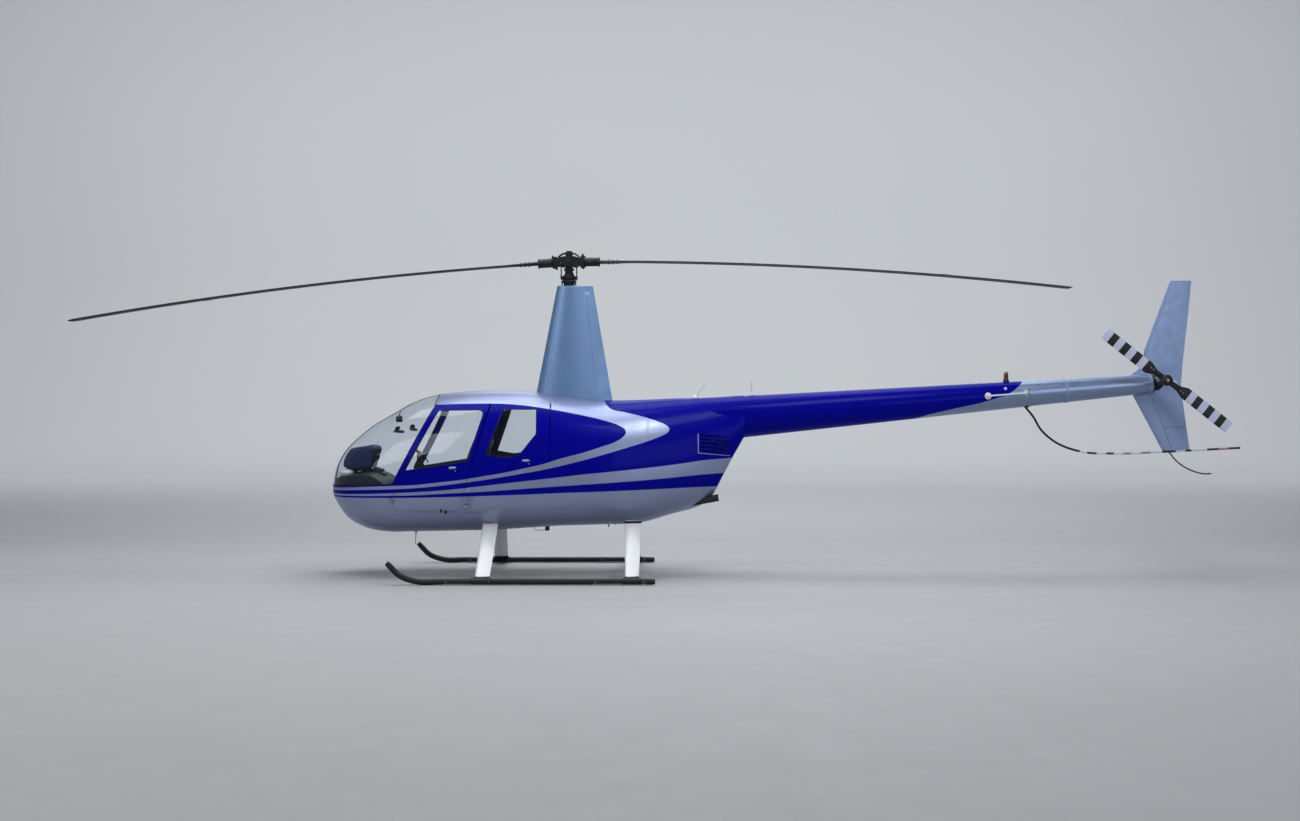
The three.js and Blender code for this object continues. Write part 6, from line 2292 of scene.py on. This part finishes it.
# Seats
# Columns: place, part, near and far edge from the middle, side-view outline of the padding.
SEAT_PADS = [
    ("front", "cushion", (0.064, 0.496), [
        (-1.458, 0.805), (-1.462, 0.872), (-1.436, 0.898), (-1.20, 0.892), (-1.045, 0.874), (-1.035, 0.805),
    ]),
    ("front", "back", (0.064, 0.496), [
        (-1.050, 0.905), (-0.965, 0.885), (-0.905, 1.00), (-0.800, 1.33), (-0.800, 1.385), (-0.862, 1.385),
        (-0.895, 1.34), (-0.980, 1.12),
    ]),
    ("rear", "cushion", (0.018, 0.500), [
        (-0.682, 0.866), (-0.686, 0.935), (-0.662, 0.966), (-0.45, 0.962), (-0.262, 0.945), (-0.250, 0.866),
    ]),
    ("rear", "back", (0.018, 0.500), [
        (-0.262, 0.965), (-0.152, 0.965), (-0.152, 1.462), (-0.218, 1.462), (-0.240, 1.42),
    ]),
]
SWELL = {"pressure": 4.0, "stiffness": 12, "frames": 20, "cap": 0.016, "voxel": 0.006}


def evaluated_mesh(made):
    """The object's mesh with its modifiers worked in, and the modifiers removed."""
    mesh = bpy.data.meshes.new_from_object(made.evaluated_get(bpy.context.evaluated_depsgraph_get()))
    made.modifiers.clear()
    return mesh


def vertex_values(mesh, name):
    values = np.empty(len(mesh.vertices) * 3, np.float32)
    mesh.vertices.foreach_get(name, values)
    return values.reshape(-1, 3).astype(float)


def swell(made):
    """Blows a padded solid up a little as cloth, and caps how far each point moves."""
    remesh = made.modifiers.new("skin", "REMESH")
    remesh.mode = "VOXEL"
    remesh.voxel_size = SWELL["voxel"]
    made.data = evaluated_mesh(made)
    before = vertex_values(made.data, "co")
    cloth = made.modifiers.new("cloth", "CLOTH")
    cloth.settings.use_pressure = True
    cloth.settings.uniform_pressure_force = SWELL["pressure"]
    cloth.settings.effector_weights.gravity = 0
    cloth.settings.quality = 4
    cloth.settings.tension_stiffness = SWELL["stiffness"]
    cloth.settings.compression_stiffness = SWELL["stiffness"]
    cloth.collision_settings.use_collision = False
    scene = bpy.context.scene
    for number in range(1, SWELL["frames"] + 1):
        scene.frame_set(number)
    mesh = evaluated_mesh(made)
    scene.frame_set(1)
    move = vertex_values(mesh, "co") - before
    length = np.linalg.norm(move, axis=1, keepdims=True)
    move *= np.minimum(1, SWELL["cap"] / np.maximum(length, 1e-9))
    mesh.vertices.foreach_set("co", (before + move).ravel())
    made.data = mesh


def sew(made, across, count, depth, width=0.007):
    """Presses sewn channels into a pad, evenly spaced from one edge to the other."""
    points = vertex_values(made.data, "co")
    normals = vertex_values(made.data, "normal")
    near, far = across
    low, high = points.min(axis=0), points.max(axis=0)
    lines = [near + (far - near) * (i + 1) / (count + 1) for i in range(count)]
    press = sum(np.exp(-((np.abs(points[:, 1]) - line) / width) ** 2) for line in lines)
    middle = (low[2] + high[2]) / 2
    rim = np.exp(-((points[:, 2] - middle) / 0.006) ** 2) if high[2] - low[2] < 0.2 else 0
    points -= normals * (depth * np.minimum(press + 0.5 * rim, 1))[:, None]
    made.data.vertices.foreach_set("co", points.ravel())
    made.data.update()


# Columns: distance from a pad's edge, size of its section there.
PAD_SLICES = [(0.0, 0.86), (0.012, 0.97), (0.03, 1.0)]


def pad_shape(outline, near, far):
    """A pad with softened ends from its side-view outline."""
    soft = dense(rounded([(x, z, 0.018) for x, z in outline], 4), 0.03)
    slices = [(near + inset, size) for inset, size in PAD_SLICES]
    slices += [(far - inset, size) for inset, size in reversed(PAD_SLICES)]
    x0, z0 = np.mean(np.array(soft), axis=0)
    return loft([[(x0 + size * (x - x0), y, z0 + size * (z - z0)) for x, z in soft] for y, size in slices])


def add_seats():
    for place, part, (near, far), outline in SEAT_PADS:
        made = new_object(f"{place}_seat_{part}_right", pad_shape(outline, near, far))
        tidy_faces(made.data)
        swell(made)
        sew(made, (near, far), 3, 0.006)
        finish_pad(made, place, "right")
        twin = copy_of(made, f"{place}_seat_{part}_left")
        points = mesh_points(twin.data) + (MAST_X, 0, 0)
        twin.data.vertices.foreach_set("co", (points * (1, -1, 1)).ravel())
        twin.data.flip_normals()
        finish_pad(twin, place, "left")


def finish_pad(made, place, label):
    cover(made, "leather")
    shade_smooth(made.data)
    keep(made, "airframe", [f"{place}_{label}_seat"])


def strap(path, across, width=0.046, thick=0.0022):
    """Flat webbing along a path; across is the way its width lies."""
    path = np.asarray(path, float)
    side = unit(np.tile(np.array(across, float), (len(path), 1)))
    out = unit(np.cross(side, tangents(path)))
    h, t = width / 2, thick / 2
    corners = ((-h, -t), (h, -t), (h, t), (-h, t))
    return loft([[p + a * s + b * o for a, b in corners] for p, s, o in zip(path, side, out)])


# Columns: station and height of a buckle, near and far side of its seat.
LAP_BELTS = [(-1.12, 0.935, 0.075, 0.485), (-0.34, 1.005, 0.035, 0.480)]
# Columns: station, distance from the middle, height.
FRONT_SHOULDER = [
    (-0.775, 0.520, 1.50), (-0.815, 0.47, 1.415), (-0.895, 0.42, 1.345), (-0.995, 0.36, 1.13),
    (-1.085, 0.30, 0.955),
]
REAR_SHOULDER = [
    (-0.160, 0.42, 1.53), (-0.235, 0.42, 1.475), (-0.262, 0.40, 1.30), (-0.285, 0.36, 1.05),
    (-0.335, 0.32, 1.010),
]


def lap_belt(x, z, y0, y1, side):
    """Two halves of webbing from a seat's sides to its middle, and the buckle there."""
    middle = (y0 + y1) / 2
    near = [(0.055, y0 - 0.006, -0.10), (0.02, y0 + 0.01, -0.01), (-0.04, middle - 0.07, 0.004),
            (-0.05, middle - 0.02, 0.006)]
    far = [(0.055, y1 + 0.006, -0.10), (0.02, y1 - 0.01, -0.01), (-0.03, middle + 0.08, 0.004),
           (-0.05, middle + 0.03, 0.006)]
    webs = [strap(smooth([(x + dx, side * y, z + dz) for dx, y, dz in route], 20), (1, 0, 0.15))
            for route in (near, far)]
    centre = np.array([x - 0.050, side * middle, z + 0.008])
    case = block(tuple(centre - (0.028, 0.036, 0.006)), tuple(centre + (0.028, 0.036, 0.010)))
    button = block(tuple(centre + (-0.012, -0.020, 0.008)), tuple(centre + (0.012, 0.020, 0.013)))
    return webs, [case, button]


def add_belts():
    """Lap and shoulder webbing with buckles, lying on each seat."""
    webs, buckles = [], []
    for side in (-1, 1):
        for row in LAP_BELTS:
            halves, buckle = lap_belt(*row, side)
            webs += halves
            buckles += buckle
        for route in (FRONT_SHOULDER, REAR_SHOULDER):
            webs.append(strap(smooth([(x, side * y, z) for x, y, z in route], 30), (0.1, 1, 0)))
    parts = [(combine(*webs), "webbing"), (combine(*buckles), "steel")]
    piece("seat_belts", parts, "airframe", bevel=0.0008)


# Floor and backdrop

def floor_links(tree):
    """Pale grey underfoot, turning paler up the wall."""
    place = add_node(tree, "TexCoord").outputs["Object"]
    away = add_node(tree, "SeparateXYZ", {"Vector": place}).outputs["Y"]
    grey = tinted(tree, (0.365, 0.368, 0.372), 0.03, 0.5)
    wall = tinted(tree, (0.78, 0.79, 0.80), 0.02, 0.3)
    return {
        "Base Color": blended(tree, ranged(tree, away, 0.0, 1.0, 4.0, 26.0), grey, wall),
        "Roughness": ranged(tree, noise(tree, 3.0, 4.0), 0.6, 0.75, 0.3, 0.7),
        "Normal": bumped(tree, (noise(tree, 60.0, 3.0), 0.03, 0.001)),
    }


def add_stage():
    """A pale floor that curves up into a pale wall behind."""
    turn = [(6 * math.sin(a), 6 - 6 * math.cos(a)) for a in np.linspace(0, math.pi / 2, 24)]
    profile = [(-60, 0)] + [(24 + y, z) for y, z in turn] + [(30, 40)]
    rings = [[(x, y, z) for y, z in profile] for x in (-70, 70)]
    points = np.array(rings).reshape(-1, 3)
    count = len(profile)
    faces = [(i, i + 1, count + i + 1, count + i) for i in range(count - 1)]
    made = new_object("studio_floor", (points, faces))
    shade_smooth(made.data)
    made.data.materials.append(shader("studio_floor", floor_links, specular_ior_level=0.2))


add_camera()
add_lights()
carry_over()
add_fuselage()
add_window_trim()
add_hinges()
add_handles()
add_skin_details()
add_cowl_rim()
add_louvres()
add_belly_fittings()
add_tailcone()
add_fins()
add_tail_rotor()
add_tail_gearbox()
add_guard()
add_blade("forward_blade_skin", -1, "forward_blade")
add_blade("aft_blade_skin", 1, "aft_blade")
add_hub()
add_mast_fairing()
add_landing_gear()
add_beacon()
add_antennas()
add_engine_bay()
add_door_lips()
add_door_seals()
add_console()
add_nose_tray()
add_controls()
add_screen_fittings()
add_seats()
add_belts()
add_stage()
